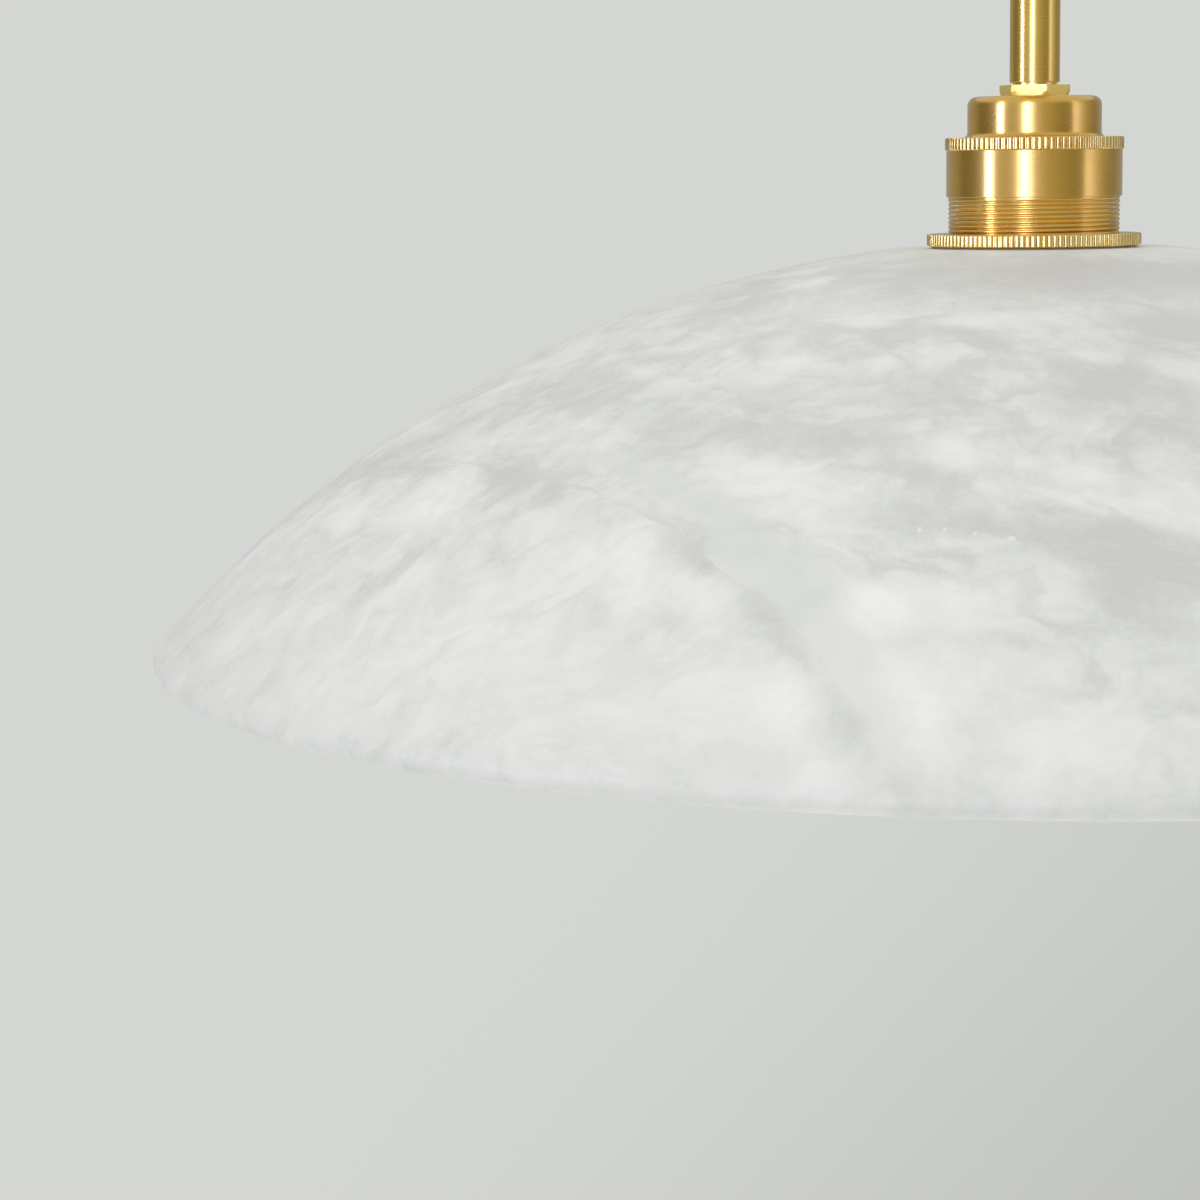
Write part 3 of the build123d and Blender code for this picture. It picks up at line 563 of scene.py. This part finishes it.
def edgeGroup(look):
    group, given, end = newGroup("edgeWearAndHollowShade", {"Place": "Vector"}, {"Wear": "Float", "ShadeInHollows": "Float"})
    point = put(group, "NewGeometry").outputs["Pointiness"]
    patchy = fade(group, noise(group, given["Place"], look["patchScale"], 3.0, 0.6), *look["patches"])
    wear = times(group, fade(group, point, *look["edges"]), patchy)
    # painted shade: the second output is a mask of the concave places, hollows and groove bottoms, that the
    # finish darkens
    fill(group, end, {"Wear": wear, "ShadeInHollows": fade(group, point, *look["hollows"])})
    return group


turningMarks = turningGroup(brassMarks)
edgeWearAndHollowShade = edgeGroup(brassMarks)


def brass(name, look):
    material, tree, shader, place = newMaterial(name)
    inputs = {"Place": place, "Fineness": look["fineness"]}
    marks = put(tree, "Group", inputs, node_tree=turningMarks).outputs
    edges = put(tree, "Group", {"Place": place}, node_tree=edgeWearAndHollowShade).outputs
    rings, clouding, grain = pick(marks, "Rings", "Clouding", "Grain")
    wear, hollow = pick(edges, "Wear", "ShadeInHollows")
    colour = blendColour(tree, fade(tree, clouding, *look["clouding"]), look["colour"], look["clouded"])
    colour = blendColour(tree, fade(tree, rings, *look["streak"]), colour, look["bright"])
    # painted shade: cut grooves and concave hollows are blended towards the dark brass
    groove = calc(tree, "MAXIMUM", fade(tree, attribute(tree, "cut"), *look["grooves"]), hollow)
    colour = blendColour(tree, times(tree, groove, look["hollow"]), colour, look["dark"])
    colour = blendColour(tree, wear, colour, look["bright"])
    rough = timesAdd(tree, fromHalf(tree, rings), look["ringed"], look["rough"])
    rough = timesAdd(tree, fromHalf(tree, clouding), look["uneven"], rough)
    rough = timesAdd(tree, fromHalf(tree, grain), look["uneven"], rough)
    around = put(tree, "Tangent", direction_type="RADIAL", axis="Z").outputs[0]
    fill(tree, shader, {
        "Base Color": colour, "Roughness": rough, "Metallic": 1.0,
        "Anisotropic": look["stretch"], "Anisotropic Rotation": look["stretchTurn"], "Tangent": around,
        "Coat Weight": look["coat"], "Coat Roughness": look["coatRough"], "Coat IOR": look["coatIor"],
        "Normal": bump(tree, calc(tree, "ADD", rings, grain), look["relief"], look["reliefDepth"]),
    })
    return material


# painted shade: the dark colour is the tone that the grooves and hollows are shaded towards
satin = {"colour": tone(237, 190, 66), "clouded": tone(230, 180, 60), "bright": tone(252, 230, 150),
         "dark": tone(126, 82, 28), "clouding": (0.3, 0.7), "streak": (0.35, 0.7, 0.0, 0.09),
         "grooves": (0.2, 1.0), "hollow": 0.6, "rough": 0.25, "ringed": 0.06, "uneven": 0.1,
         "fineness": 9000.0, "stretch": 0.9, "stretchTurn": 0.25, "relief": 0.08, "reliefDepth": 0.02 * mm,
         "coat": 0.8, "coatRough": 0.24, "coatIor": 1.7}
brassFinishes = {
    "satin_brass": satin,
    "rod_brass": dict(satin, colour=tone(236, 196, 68), clouded=tone(229, 187, 62), rough=0.27,
                      relief=0.015, uneven=0.02),
    "thread_brass": dict(satin, colour=tone(238, 189, 76), clouded=tone(230, 179, 70), rough=0.24,
                         stretch=0.3, hollow=0.8, relief=0.1),
    "knurl_brass": dict(satin, colour=tone(240, 200, 88), clouded=tone(234, 192, 80)),
    # painted light: the nut brass is a lighter copy of the satin brass, to stand in for the light that the
    # nut's faces catch
    "nut_brass": dict(satin, colour=tone(253, 224, 100), clouded=tone(248, 216, 90),
                      bright=tone(254, 240, 160), rough=0.5, stretch=0.0, relief=0.05, coat=1.0),
}

# Other finishes: the two tones that the colour drifts between, roughness, metal or not, scale, relief,
# coat
plainFinishes = {
    "zinc_steel": ((188, 181, 164), (170, 164, 148), 0.38, 1.0, 500.0, 0.12, 0.0),
    "nickel": ((207, 198, 174), (192, 183, 160), 0.26, 1.0, 400.0, 0.05, 0.0),
    "porcelain": ((238, 236, 230), (230, 228, 221), 0.22, 0.0, 300.0, 0.04, 0.4),
    "silicone": ((226, 226, 222), (214, 214, 210), 0.55, 0.0, 600.0, 0.1, 0.0),
    "block_plastic": ((232, 230, 224), (222, 220, 213), 0.5, 0.0, 700.0, 0.15, 0.0),
    "opal_glass": ((240, 240, 238), (234, 234, 231), 0.2, 0.0, 120.0, 0.02, 0.5),
    "black_glass": ((30, 30, 34), (22, 22, 25), 0.15, 0.0, 400.0, 0.05, 0.5),
    "wire_blue": ((52, 100, 178), (42, 88, 164), 0.42, 0.0, 900.0, 0.1, 0.0),
    "wire_brown": ((116, 74, 46), (100, 62, 38), 0.42, 0.0, 900.0, 0.1, 0.0),
    "wire_green": ((72, 150, 64), (60, 134, 54), 0.42, 0.0, 900.0, 0.1, 0.0),
}
mottling = {"wide": 0.2, "fine": 6.0, "drift": (0.3, 0.7), "uneven": 0.16, "reliefDepth": 0.05 * mm}


def mottled(name, first, second, rough, metal, scale, relief, coat):
    material, tree, shader, place = newMaterial(name)
    wide = noise(tree, place, scale * mottling["wide"], 4.0, 0.55)
    fine = noise(tree, place, scale * mottling["fine"], 3.0, 0.6)
    drift = fade(tree, wide, *mottling["drift"])
    fill(tree, shader, {
        "Base Color": blendColour(tree, drift, tone(*first), tone(*second)),
        "Roughness": timesAdd(tree, fromHalf(tree, fine), mottling["uneven"], rough),
        "Metallic": metal, "Coat Weight": coat,
        "Normal": bump(tree, fine, relief, mottling["reliefDepth"]),
    })
    return material


finishes = {"alabaster": alabaster(stone)}
for name, look in brassFinishes.items():
    finishes[name] = brass(name, look)
for name, look in plainFinishes.items():
    finishes[name] = mottled(name, *look)
print("finishes made:", len(finishes))


def dress(piece, finish, body, replaced):
    # material, body and replaced node of one new piece
    piece.data.materials.append(finishes[finish])
    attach(piece, body)
    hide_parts(replaced)


# Stone dome: outer and inner spheres about one centre, a rounded rim and two flat seats
dome = {"radius": 269.0 * mm, "wall": 9.0 * mm, "rimRound": 2.8 * mm, "innerRound": 2.0 * mm,
        "seatDepth": 1.8 * mm, "hole": 20.25 * mm, "innerSeat": 28.0 * mm, "beside": 0.3 * mm,
        "rows": 110, "rimRows": 9, "turns": 384}


def stoneDome(size):
    radius, hole, innerSeat, beside, rows = pick(size, "radius", "hole", "innerSeat", "beside", "rows")
    centre = seatZ + size["seatDepth"] - radius
    inner = radius - size["wall"]
    seatReach = math.sqrt(radius ** 2 - (seatZ - centre) ** 2)
    innerSeatZ = centre + math.sqrt(inner ** 2 - innerSeat ** 2)

    def arc(sphere, first, last, count):
        # points of a circle about the dome's centre, between two polar angles from +z
        turn = np.linspace(first, last, count)
        return np.stack([sphere * np.sin(turn), centre + sphere * np.cos(turn)], axis=1)

    def rimArc(sphere, rounded, way):
        # arc that touches the rim's plane and a sphere, from within it (way 1) or from outside (way -1)
        rise = rimZ + rounded - centre
        reach = math.sqrt((sphere - way * rounded) ** 2 - rise ** 2)
        touch = math.atan2(reach, rise)
        start = math.pi / 2 - touch if way > 0 else -math.pi / 2 - touch
        first, last = (start, -math.pi / 2) if way > 0 else (-math.pi / 2, start)
        turn = np.linspace(first, last, size["rimRows"])
        return np.stack([reach + rounded * np.cos(turn), rimZ + rounded + rounded * np.sin(turn)], 1), touch

    outerRim, outerTouch = rimArc(radius, size["rimRound"], 1)
    innerRim, innerTouch = rimArc(inner, size["innerRound"], -1)
    outer = arc(radius, math.asin(seatReach / radius), outerTouch, rows)
    within = arc(inner, innerTouch, math.asin(innerSeat / inner), rows // 2)
    seats = np.array([(innerSeat - beside, innerSeatZ), (hole + beside, innerSeatZ), (hole, innerSeatZ),
                      (hole, seatZ), (hole + beside, seatZ), (seatReach - beside, seatZ)])
    profile = np.concatenate([outer, outerRim[1:], innerRim, within[1:], seats])
    return turned("stone_dome", profile, size["turns"], sharpAngle=40.0)


shade = stoneDome(dome)
paintStrokes(shade)
dress(shade, "alabaster", "dome", "shade")
print("dome turned")

# Rod: a tube with a small chamfer at each end and a tapped bore
rod = {"bore": 4.2 * mm, "tapped": 5.0 * mm, "chamfer": 0.2 * mm, "engaged": 15.0 * mm, "edge": 0.05 * mm,
       "turns": 96}


def brassRod(size):
    bore, tapped, chamfer, edge = pick(size, "bore", "tapped", "chamfer", "edge")
    lowStop, highStop = rodLow + size["engaged"], rodHigh - size["engaged"]
    corners = [
        (tapped, rodLow, edge), (rodRadius - chamfer, rodLow, edge), (rodRadius, rodLow + chamfer, edge),
        (rodRadius, rodHigh - chamfer, edge), (rodRadius - chamfer, rodHigh, edge), (tapped, rodHigh, edge),
        (tapped, highStop, 0), (bore, highStop, 0), (bore, lowStop, 0), (tapped, lowStop, 0),
    ]
    return turned("brass_rod", roundedProfile(corners), size["turns"])


dress(brassRod(rod), "rod_brass", "fixture", "rod")

# Lock nut: r <= flat / cos(angle from the nearest flat), corners turned off by a cone below
nut = {"flat": 7.0 * mm, "bore": 5.0 * mm, "turn": 49.5, "foot": 7.5 * mm, "rise": 1.05 * mm,
       "edge": 0.12 * mm, "cornerEase": 0.1 * mm, "perSide": 18}


def hexNut(size):
    flat, bore, edge, perSide = pick(size, "flat", "bore", "edge", "perSide")
    corner = flat / math.cos(math.pi / 6)
    start = math.radians(size["turn"])
    corners = [
        (bore, nutLow, edge), (size["foot"], nutLow, edge), (corner, nutLow + size["rise"], edge),
        (corner, nutHigh - edge, edge), (corner - edge, nutHigh, edge), (bore, nutHigh, edge),
    ]

    def flats(r, z, t):
        side = flat / np.cos(np.mod(t - start, math.pi / 3) - math.pi / 6)
        return np.minimum(r, np.minimum(side, corner - size["cornerEase"]))

    turns = start + np.arange(6 * perSide) * math.pi / 3 / perSide
    return turned("hex_lock_nut", roundedProfile(corners), turns, flats, sharpAngle=28.0)


dress(hexNut(nut), "nut_brass", "fixture", "lock_nut")
print("rod and nut made")

# Lampholder cap: rounded top, flare to a knurled flange, spigot below
cap = {"body": 15.0 * mm, "hole": 5.0 * mm, "topRound": 2.0 * mm, "flare": 1.2 * mm, "wall": 1.4 * mm,
       "flangeHeight": 2.8 * mm, "capHeight": 9.1 * mm, "spigot": 18.2 * mm, "spigotBore": 16.5 * mm,
       "boss": 7.0 * mm, "bossHeight": 6.0 * mm, "edge": 0.1 * mm, "chamfer": 0.22 * mm, "beside": 0.1 * mm,
       "teeth": 90, "arcSteps": 6}


def lampholderCap(size):
    body, hole, spigot, spigotBore, boss = pick(size, "body", "hole", "spigot", "spigotBore", "boss")
    edge, chamfer = pick(size, "edge", "chamfer")
    flangeTop = capHigh - size["capHeight"]
    flangeLow = flangeTop - size["flangeHeight"]
    bossLow = capHigh - size["bossHeight"]
    chamber, roof = body - size["wall"], capHigh - size["wall"]
    root = flangeRadius - tooth["depth"] - size["beside"]
    corners = [
        (spigotBore, capLow, edge), (spigot, capLow, edge), (spigot, flangeLow, 0), (root, flangeLow, 0),
        (flangeRadius - chamfer, flangeLow, 0), (flangeRadius, flangeLow + chamfer, 0),
        (flangeRadius, flangeTop - chamfer, 0), (flangeRadius - chamfer, flangeTop, 0),
        (root, flangeTop, 0), (body, flangeTop, size["flare"]), (body, capHigh, size["topRound"]),
        (hole, capHigh, edge), (hole, bossLow, 0), (boss, bossLow, 0), (boss, roof, 0),
        (chamber, roof, edge), (chamber, flangeLow, 0), (spigotBore, flangeLow, 0),
    ]
    turns, grooves = knurl(flangeRadius, size["teeth"])
    profile = roundedProfile(corners, size["arcSteps"])
    return turned("lampholder_cap_turned", profile, turns, grooves, grooveShading=1.0, sharpAngle=30.0)


dress(lampholderCap(cap), "satin_brass", "fixture", "lampholder_cap")

# Lampholder barrel: smooth above, a fine right-hand thread below
barrel = {"thread": 19.25 * mm, "smooth": 10.4 * mm, "pitch": 1.0 * mm, "depth": 0.28 * mm,
          "bore": 17.5 * mm, "lipBore": 15.5 * mm, "lip": 1.5 * mm, "spigotSeat": 18.25 * mm,
          "spigotLength": 6.0 * mm, "edge": 0.12 * mm, "footRound": 0.4 * mm, "threadStart": 0.8 * mm,
          "rowsPerTurn": 9, "turns": 160}


def lampholderBarrel(size):
    thread, bore, lipBore, seat, edge = pick(size, "thread", "bore", "lipBore", "spigotSeat", "edge")
    threadLow, threadTop = barrelLow + size["threadStart"], barrelHigh - size["smooth"]
    lipTop = barrelLow + size["lip"]
    seatLow = barrelHigh - size["spigotLength"]
    corners = [
        (lipBore, barrelLow, edge), (thread, barrelLow, size["footRound"]), (thread, threadTop, 0),
        (barrelRadius, threadTop, edge), (barrelRadius, barrelHigh, edge), (seat, barrelHigh, 0),
        (seat, seatLow, 0), (bore, seatLow, 0), (bore, lipTop, 0), (lipBore, lipTop, edge),
    ]
    profile = roundedProfile(corners)
    # rows for the thread go in just before its upper corner
    step = size["pitch"] / size["rowsPerTurn"]
    rows = np.arange(threadLow, threadTop - step / 2, step)
    at = np.flatnonzero((profile == (thread, threadTop)).all(axis=1))[0]
    profile = np.insert(profile, at, np.stack([np.full(len(rows), thread), rows], 1), axis=0)
    cut = threadCut(threadLow, threadTop, size, thread)
    return turned("lampholder_barrel_threaded", profile, size["turns"], cut, grooveShading=0.7, sharpAngle=55.0)


dress(lampholderBarrel(barrel), "satin_brass", "fixture", "lampholder_barrel")
print("lampholder made")

# Shade rings: straight knurl on the rim, a slant towards the stone, a recess for the washer
ring = {"bore": 19.3 * mm, "teeth": 122, "slantHeight": 0.35 * mm, "slantRun": 0.8 * mm,
        "slantBeside": 0.02 * mm, "recess": 0.4 * mm, "washerPlay": 0.05 * mm, "edge": 0.08 * mm,
        "chamfer": 0.2 * mm, "beside": 0.1 * mm, "boreChamfer": 0.5 * mm}


def shadeRing(name, flat, far, size):
    # flat is the height of the stone side, far the height of the free side
    way = 1.0 if far > flat else -1.0
    bore, edge, chamfer, boreChamfer = pick(size, "bore", "edge", "chamfer", "boreChamfer")
    root = ringRadius - tooth["depth"]
    slantTop, recessTop = flat + way * size["slantHeight"], flat + way * size["recess"]
    recess = washerRadius + size["washerPlay"]
    corners = [
        (bore, recessTop, 0), (recess, recessTop, 0), (recess, flat, 0),
        (root - size["slantRun"], flat, edge), (root - size["slantBeside"], slantTop, 0),
        (ringRadius - chamfer, slantTop, 0), (ringRadius, slantTop + way * chamfer, 0),
        (ringRadius, far - way * chamfer, 0), (ringRadius - chamfer, far, 0),
        (root - size["beside"], far, 0), (bore + boreChamfer, far, edge),
        (bore, far - way * boreChamfer, edge),
    ]
    turns, grooves = knurl(ringRadius, size["teeth"])
    return turned(name, roundedProfile(corners), turns, grooves, grooveShading=1.0, sharpAngle=30.0)


upperRing = shadeRing("upper_ring_knurled", ringLow, ringHigh, ring)
dress(upperRing, "knurl_brass", "upper_ring", "upper_shade_ring")
lowerRing = shadeRing("lower_ring_knurled", lowRingHigh, lowRingLow, ring)
dress(lowerRing, "knurl_brass", "lower_ring", "lower_shade_ring")
print("shade rings made")

# Ceiling rose: a spun cup with a rounded lower edge
rose = {"wall": 1.2 * mm, "round": 9.0 * mm, "hole": 6.1 * mm, "edge": 0.2 * mm, "arcSteps": 14,
        "turns": 160}


def ceilingRose(size):
    wall, rounded, hole, edge = pick(size, "wall", "round", "hole", "edge")
    corners = [
        (hole, roseLow, edge), (roseRadius, roseLow, rounded), (roseRadius, roseHigh, edge),
        (roseRadius - wall, roseHigh, edge), (roseRadius - wall, roseLow + wall, rounded - wall),
        (hole, roseLow + wall, edge),
    ]
    return turned("ceiling_rose_spun", roundedProfile(corners, size["arcSteps"]), size["turns"])


dress(ceilingRose(rose), "satin_brass", "rose", "ceiling_rose")

# Bulb: globe and neck as one glass wall
bulb = {"wall": 0.9 * mm, "neck": 12.3 * mm, "waist": 9.0 * mm, "turns": 96, "rows": 60, "waistRows": 10}


def bulbGlass(size):
    centre = glassLow + glassRadius

    def skin(shrink):
        # globe arc from the bottom pole to the waist, a tangent waist arc, then the straight neck
        globe, neck, waist = glassRadius - shrink, size["neck"] - shrink, size["waist"] + shrink
        waistReach = neck + waist
        waistRise = math.sqrt((globe + waist) ** 2 - waistReach ** 2)
        lean = math.atan2(waistRise, waistReach)
        lower = np.linspace(-math.pi / 2, lean, size["rows"])
        upper = np.linspace(math.pi + lean, math.pi, size["waistRows"])[1:]
        first = np.stack([globe * np.cos(lower), centre + globe * np.sin(lower)], axis=1)
        second = np.stack([waistReach + waist * np.cos(upper),
                           centre + waistRise + waist * np.sin(upper)], axis=1)
        return np.concatenate([first, second, [(neck, glassHigh)]])

    profile = np.concatenate([skin(0.0), skin(size["wall"])[::-1]])
    profile[:, 0] = np.maximum(profile[:, 0], 0.0)
    return turned("bulb_globe", profile, size["turns"], closed=False)


dress(bulbGlass(bulb), "opal_glass", "bulb", "bulb_glass")

# Bulb cap: a thin sheet with the thread pressed into both of its faces
screw = {"pitch": 3.63 * mm, "depth": 0.42 * mm, "start": 2.0 * mm, "capWall": 0.4 * mm, "cone": 3.0 * mm,
         "top": 7.5 * mm, "tip": 4.5 * mm, "turns": 96, "rows": 70}


def bulbCap(size):
    wall, top, tip, rows = pick(size, "capWall", "top", "tip", "rows")
    shoulder = bulbCapHigh - size["cone"]
    heights = np.linspace(bulbCapLow, shoulder, rows)
    outer = np.stack([np.full(rows, bulbCapRadius), heights], axis=1)
    under = bulbCapHigh - wall
    cover = np.array([(top, bulbCapHigh), (tip, bulbCapHigh), (tip, under), (top, under)])
    inner = np.stack([np.full(rows, bulbCapRadius - wall), heights[::-1]], axis=1)
    wave = threadCut(bulbCapLow + size["start"], shoulder, size)
    profile = np.concatenate([outer, cover, inner])
    return turned("bulb_screw_cap", profile, size["turns"], wave, sharpAngle=50.0)


dress(bulbCap(screw), "nickel", "bulb", "bulb_cap")
print("rose and bulb made")

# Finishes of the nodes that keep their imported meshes
nodesByFinish = {
    "zinc_steel": ("ceiling_bracket", "terminal_block_screws", "holder_terminal_screws",
                   "collar_grub_screw"),
    "nut_brass": ("bracket_nuts", "bracket_earth_screw", "centre_contact", "holder_terminals"),
    "thread_brass": ("upper_nipple", "lower_nipple"), "satin_brass": ("rose_collar",),
    "wire_blue": ("neutral_wire",), "wire_brown": ("live_wire",), "wire_green": ("earth_wire",),
    "block_plastic": ("terminal_block",), "porcelain": ("lampholder_insert",),
    "nickel": ("screw_shell", "contact_rivets", "bulb_tip"), "black_glass": ("bulb_insulator",),
    "silicone": ("upper_washer", "lower_washer"),
}
for finish, names in nodesByFinish.items():
    for name in names:
        nodes[name].data.materials.clear()
        nodes[name].data.materials.append(finishes[finish])
print("nodes dressed:", sum(map(len, nodesByFinish.values())))

# Studio: pale surroundings with a painted shadow that darkens them to the lower right, a pale floor below
# and large soft lamps
studio = {"pale": tone(212, 214, 211), "dim": tone(188, 190, 187), "shadowWay": (0.7, 0.1, -0.7),
          "shadowFrom": 0.14, "shadowTo": 0.44, "ambient": 0.60}
floorLook = {"z": -1.6, "radius": 3.0, "rings": (1.0, 0.5, 0.0), "turns": 64, "fadeFrom": 0.5,
             "first": tone(214, 216, 213), "second": tone(209, 211, 208), "grainScale": 3.0,
             "rough": 0.9, "glow": 0.7, "glowTone": studio["pale"]}


def seenDirectly(tree):
    # 1 for camera, mirror and see-through rays, 0 for the rays that carry light
    path = put(tree, "LightPath").outputs
    mirrored = calc(tree, "MAXIMUM", path["Is Glossy Ray"], path["Is Transmission Ray"])
    return calc(tree, "MAXIMUM", path["Is Camera Ray"], mirrored)


def mixShader(tree, factor, first, second):
    return put(tree, "MixShader", {0: factor, 1: first.outputs[0], 2: second.outputs[0]})


def surroundings(look):
    world = bpy.data.worlds.new("studio")
    bpy.context.scene.world = world
    world.use_nodes = True
    tree = world.node_tree
    tree.nodes.clear()
    ray = put(tree, "TexCoord").outputs["Generated"]
    # painted shadow: what is seen directly darkens towards the lower right, as a shadow of the lamp on a
    # wall behind it would
    paintedShadow = fade(tree, vec(tree, "DOT_PRODUCT", ray, look["shadowWay"]), look["shadowFrom"], look["shadowTo"])
    colour = blendColour(tree, paintedShadow, look["pale"], look["dim"])
    backdrop = put(tree, "Background", {"Color": colour, "Strength": 1.0})
    lit = put(tree, "Background", {"Color": (1.0, 1.0, 1.0, 1.0), "Strength": look["ambient"]})
    mixed = mixShader(tree, seenDirectly(tree), lit, backdrop)
    put(tree, "OutputWorld", {"Surface": mixed.outputs[0]})


def paleFloor(look):
    material, tree, shader, place = newMaterial("pale_floor")
    grain = noise(tree, place, look["grainScale"], 4.0, 0.5)
    fill(tree, shader, {"Base Color": blendColour(tree, grain, look["first"], look["second"]),
                        "Roughness": look["rough"]})
    glow = put(tree, "Emission", {"Color": look["glowTone"], "Strength": 1.0})
    mixed = mixShader(tree, times(tree, seenDirectly(tree), look["glow"]), shader, glow)
    # towards its edge the floor fades into the surroundings
    outer = fade(tree, vec(tree, "LENGTH", place), look["fadeFrom"] * look["radius"], look["radius"])
    faded = mixShader(tree, outer, mixed, put(tree, "BsdfTransparent"))
    fill(tree, tree.nodes["Material Output"], {"Surface": faded.outputs[0]})
    reach = np.array(look["rings"])[:, None] * look["radius"]
    points = aroundAxis(reach, look["z"], evenTurns(look["turns"])[None, :])
    floor = gridMesh("floor", points, wrapRows=False, sharpAngle=60.0)
    floor.data.materials.append(material)


# A ring of reflectors and dark cards that only shiny surfaces see, cooler where it is bright; the stops
# are degrees from -y, the camera's side, towards +x, and brightness
reflectors = {"radius": 2.4, "low": -1.1, "high": 0.8, "turns": 180, "peak": 12.0,
              "dimTint": (1.0, 0.96, 0.72), "brightTint": (0.95, 1.0, 1.85), "coolAt": 1.15}
reflectorStops = [
    (-180, 0.36), (-136, 0.36), (-119, 0.30), (-105, 0.18), (-90, 0.20), (-80, 0.28), (-66, 0.5),
    (-63.5, 10.0), (-58, 10.0), (-55.5, 0.60), (-37, 0.50), (-29, 0.60), (-22, 0.95), (-18, 3.4),
    (-13, 8.0), (-8, 4.4), (-3, 1.5), (3, 0.72), (17, 0.48), (33, 0.37), (50, 0.26), (60, 0.28),
    (68, 0.40), (70, 1.12), (79, 1.12), (88, 0.7), (98, 0.46), (111, 0.33), (126, 0.27),
    (147, 0.33), (180, 0.36),
]


def reflectorRing(look, stops):
    material, tree, shader, place = newMaterial("reflectors")
    tree.nodes.remove(shader)
    way = put(tree, "SeparateXYZ", {0: place}).outputs
    turn = calc(tree, "ARCTAN2", way["X"], times(tree, way["Y"], -1.0))
    share = timesAdd(tree, turn, 0.5 / math.pi, 0.5)
    dim, cool = np.array(look["dimTint"]), np.array(look["brightTint"])
    levelStops = []
    for degrees, bright in stops:
        tint = dim + (cool - dim) * min(bright / look["coolAt"], 1.0) ** 2
        levelStops.append(((degrees + 180) / 360, (*(tint * bright / look["peak"]).tolist(), 1.0)))
    colour = ramp(tree, share, levelStops)
    glow = put(tree, "Emission", {"Color": colour, "Strength": look["peak"]})
    fill(tree, tree.nodes["Material Output"], {"Surface": glow.outputs[0]})
    heights = np.array(pick(look, "low", "high"))[:, None]
    points = aroundAxis(look["radius"], heights, evenTurns(look["turns"])[None, :])
    screen = gridMesh("reflector_ring", points, wrapRows=False, sharpAngle=60.0)
    screen.data.materials.append(material)
    for ray in ("visible_camera", "visible_diffuse", "visible_transmission", "visible_shadow"):
        setattr(screen, ray, False)


# name: degrees from -y towards +x, height, distance, width, length (metres), watts
softBoxes = {
    "left_box": (-64.0, 0.6, 1.5, 0.8, 1.5, 5.6),
    "right_box": (77.0, 0.6, 1.5, 0.8, 1.5, 4.5),
    "front_box": (-13.0, 0.9, 1.9, 1.5, 1.2, 11.2),
    "back_box": (170.0, 0.8, 1.9, 1.5, 1.0, 6.7),
    "floor_bounce": (0.0, -1.5, 0.0, 2.0, 2.0, 10.5),
}


def lightStudio(boxes):
    aimAt = Vector((0.0, 0.0, rimZ))
    for name, (azimuth, height, away, width, length, power) in boxes.items():
        lamp = bpy.data.lights.new(name, "AREA")
        lamp.shape = "RECTANGLE"
        lamp.size = width
        lamp.size_y = length
        lamp.energy = power
        holder = addObject(name, lamp)
        turn = math.radians(azimuth)
        place = Vector((away * math.sin(turn), -away * math.cos(turn), height))
        aim = (aimAt - place).to_track_quat("-Z", "Y").to_matrix().to_4x4()
        holder.matrix_world = Matrix.Translation(place) @ aim
        holder.visible_camera = False
        holder.visible_glossy = False


surroundings(studio)
paleFloor(floorLook)
reflectorRing(reflectors, reflectorStops)
lightStudio(softBoxes)
print("studio lit")
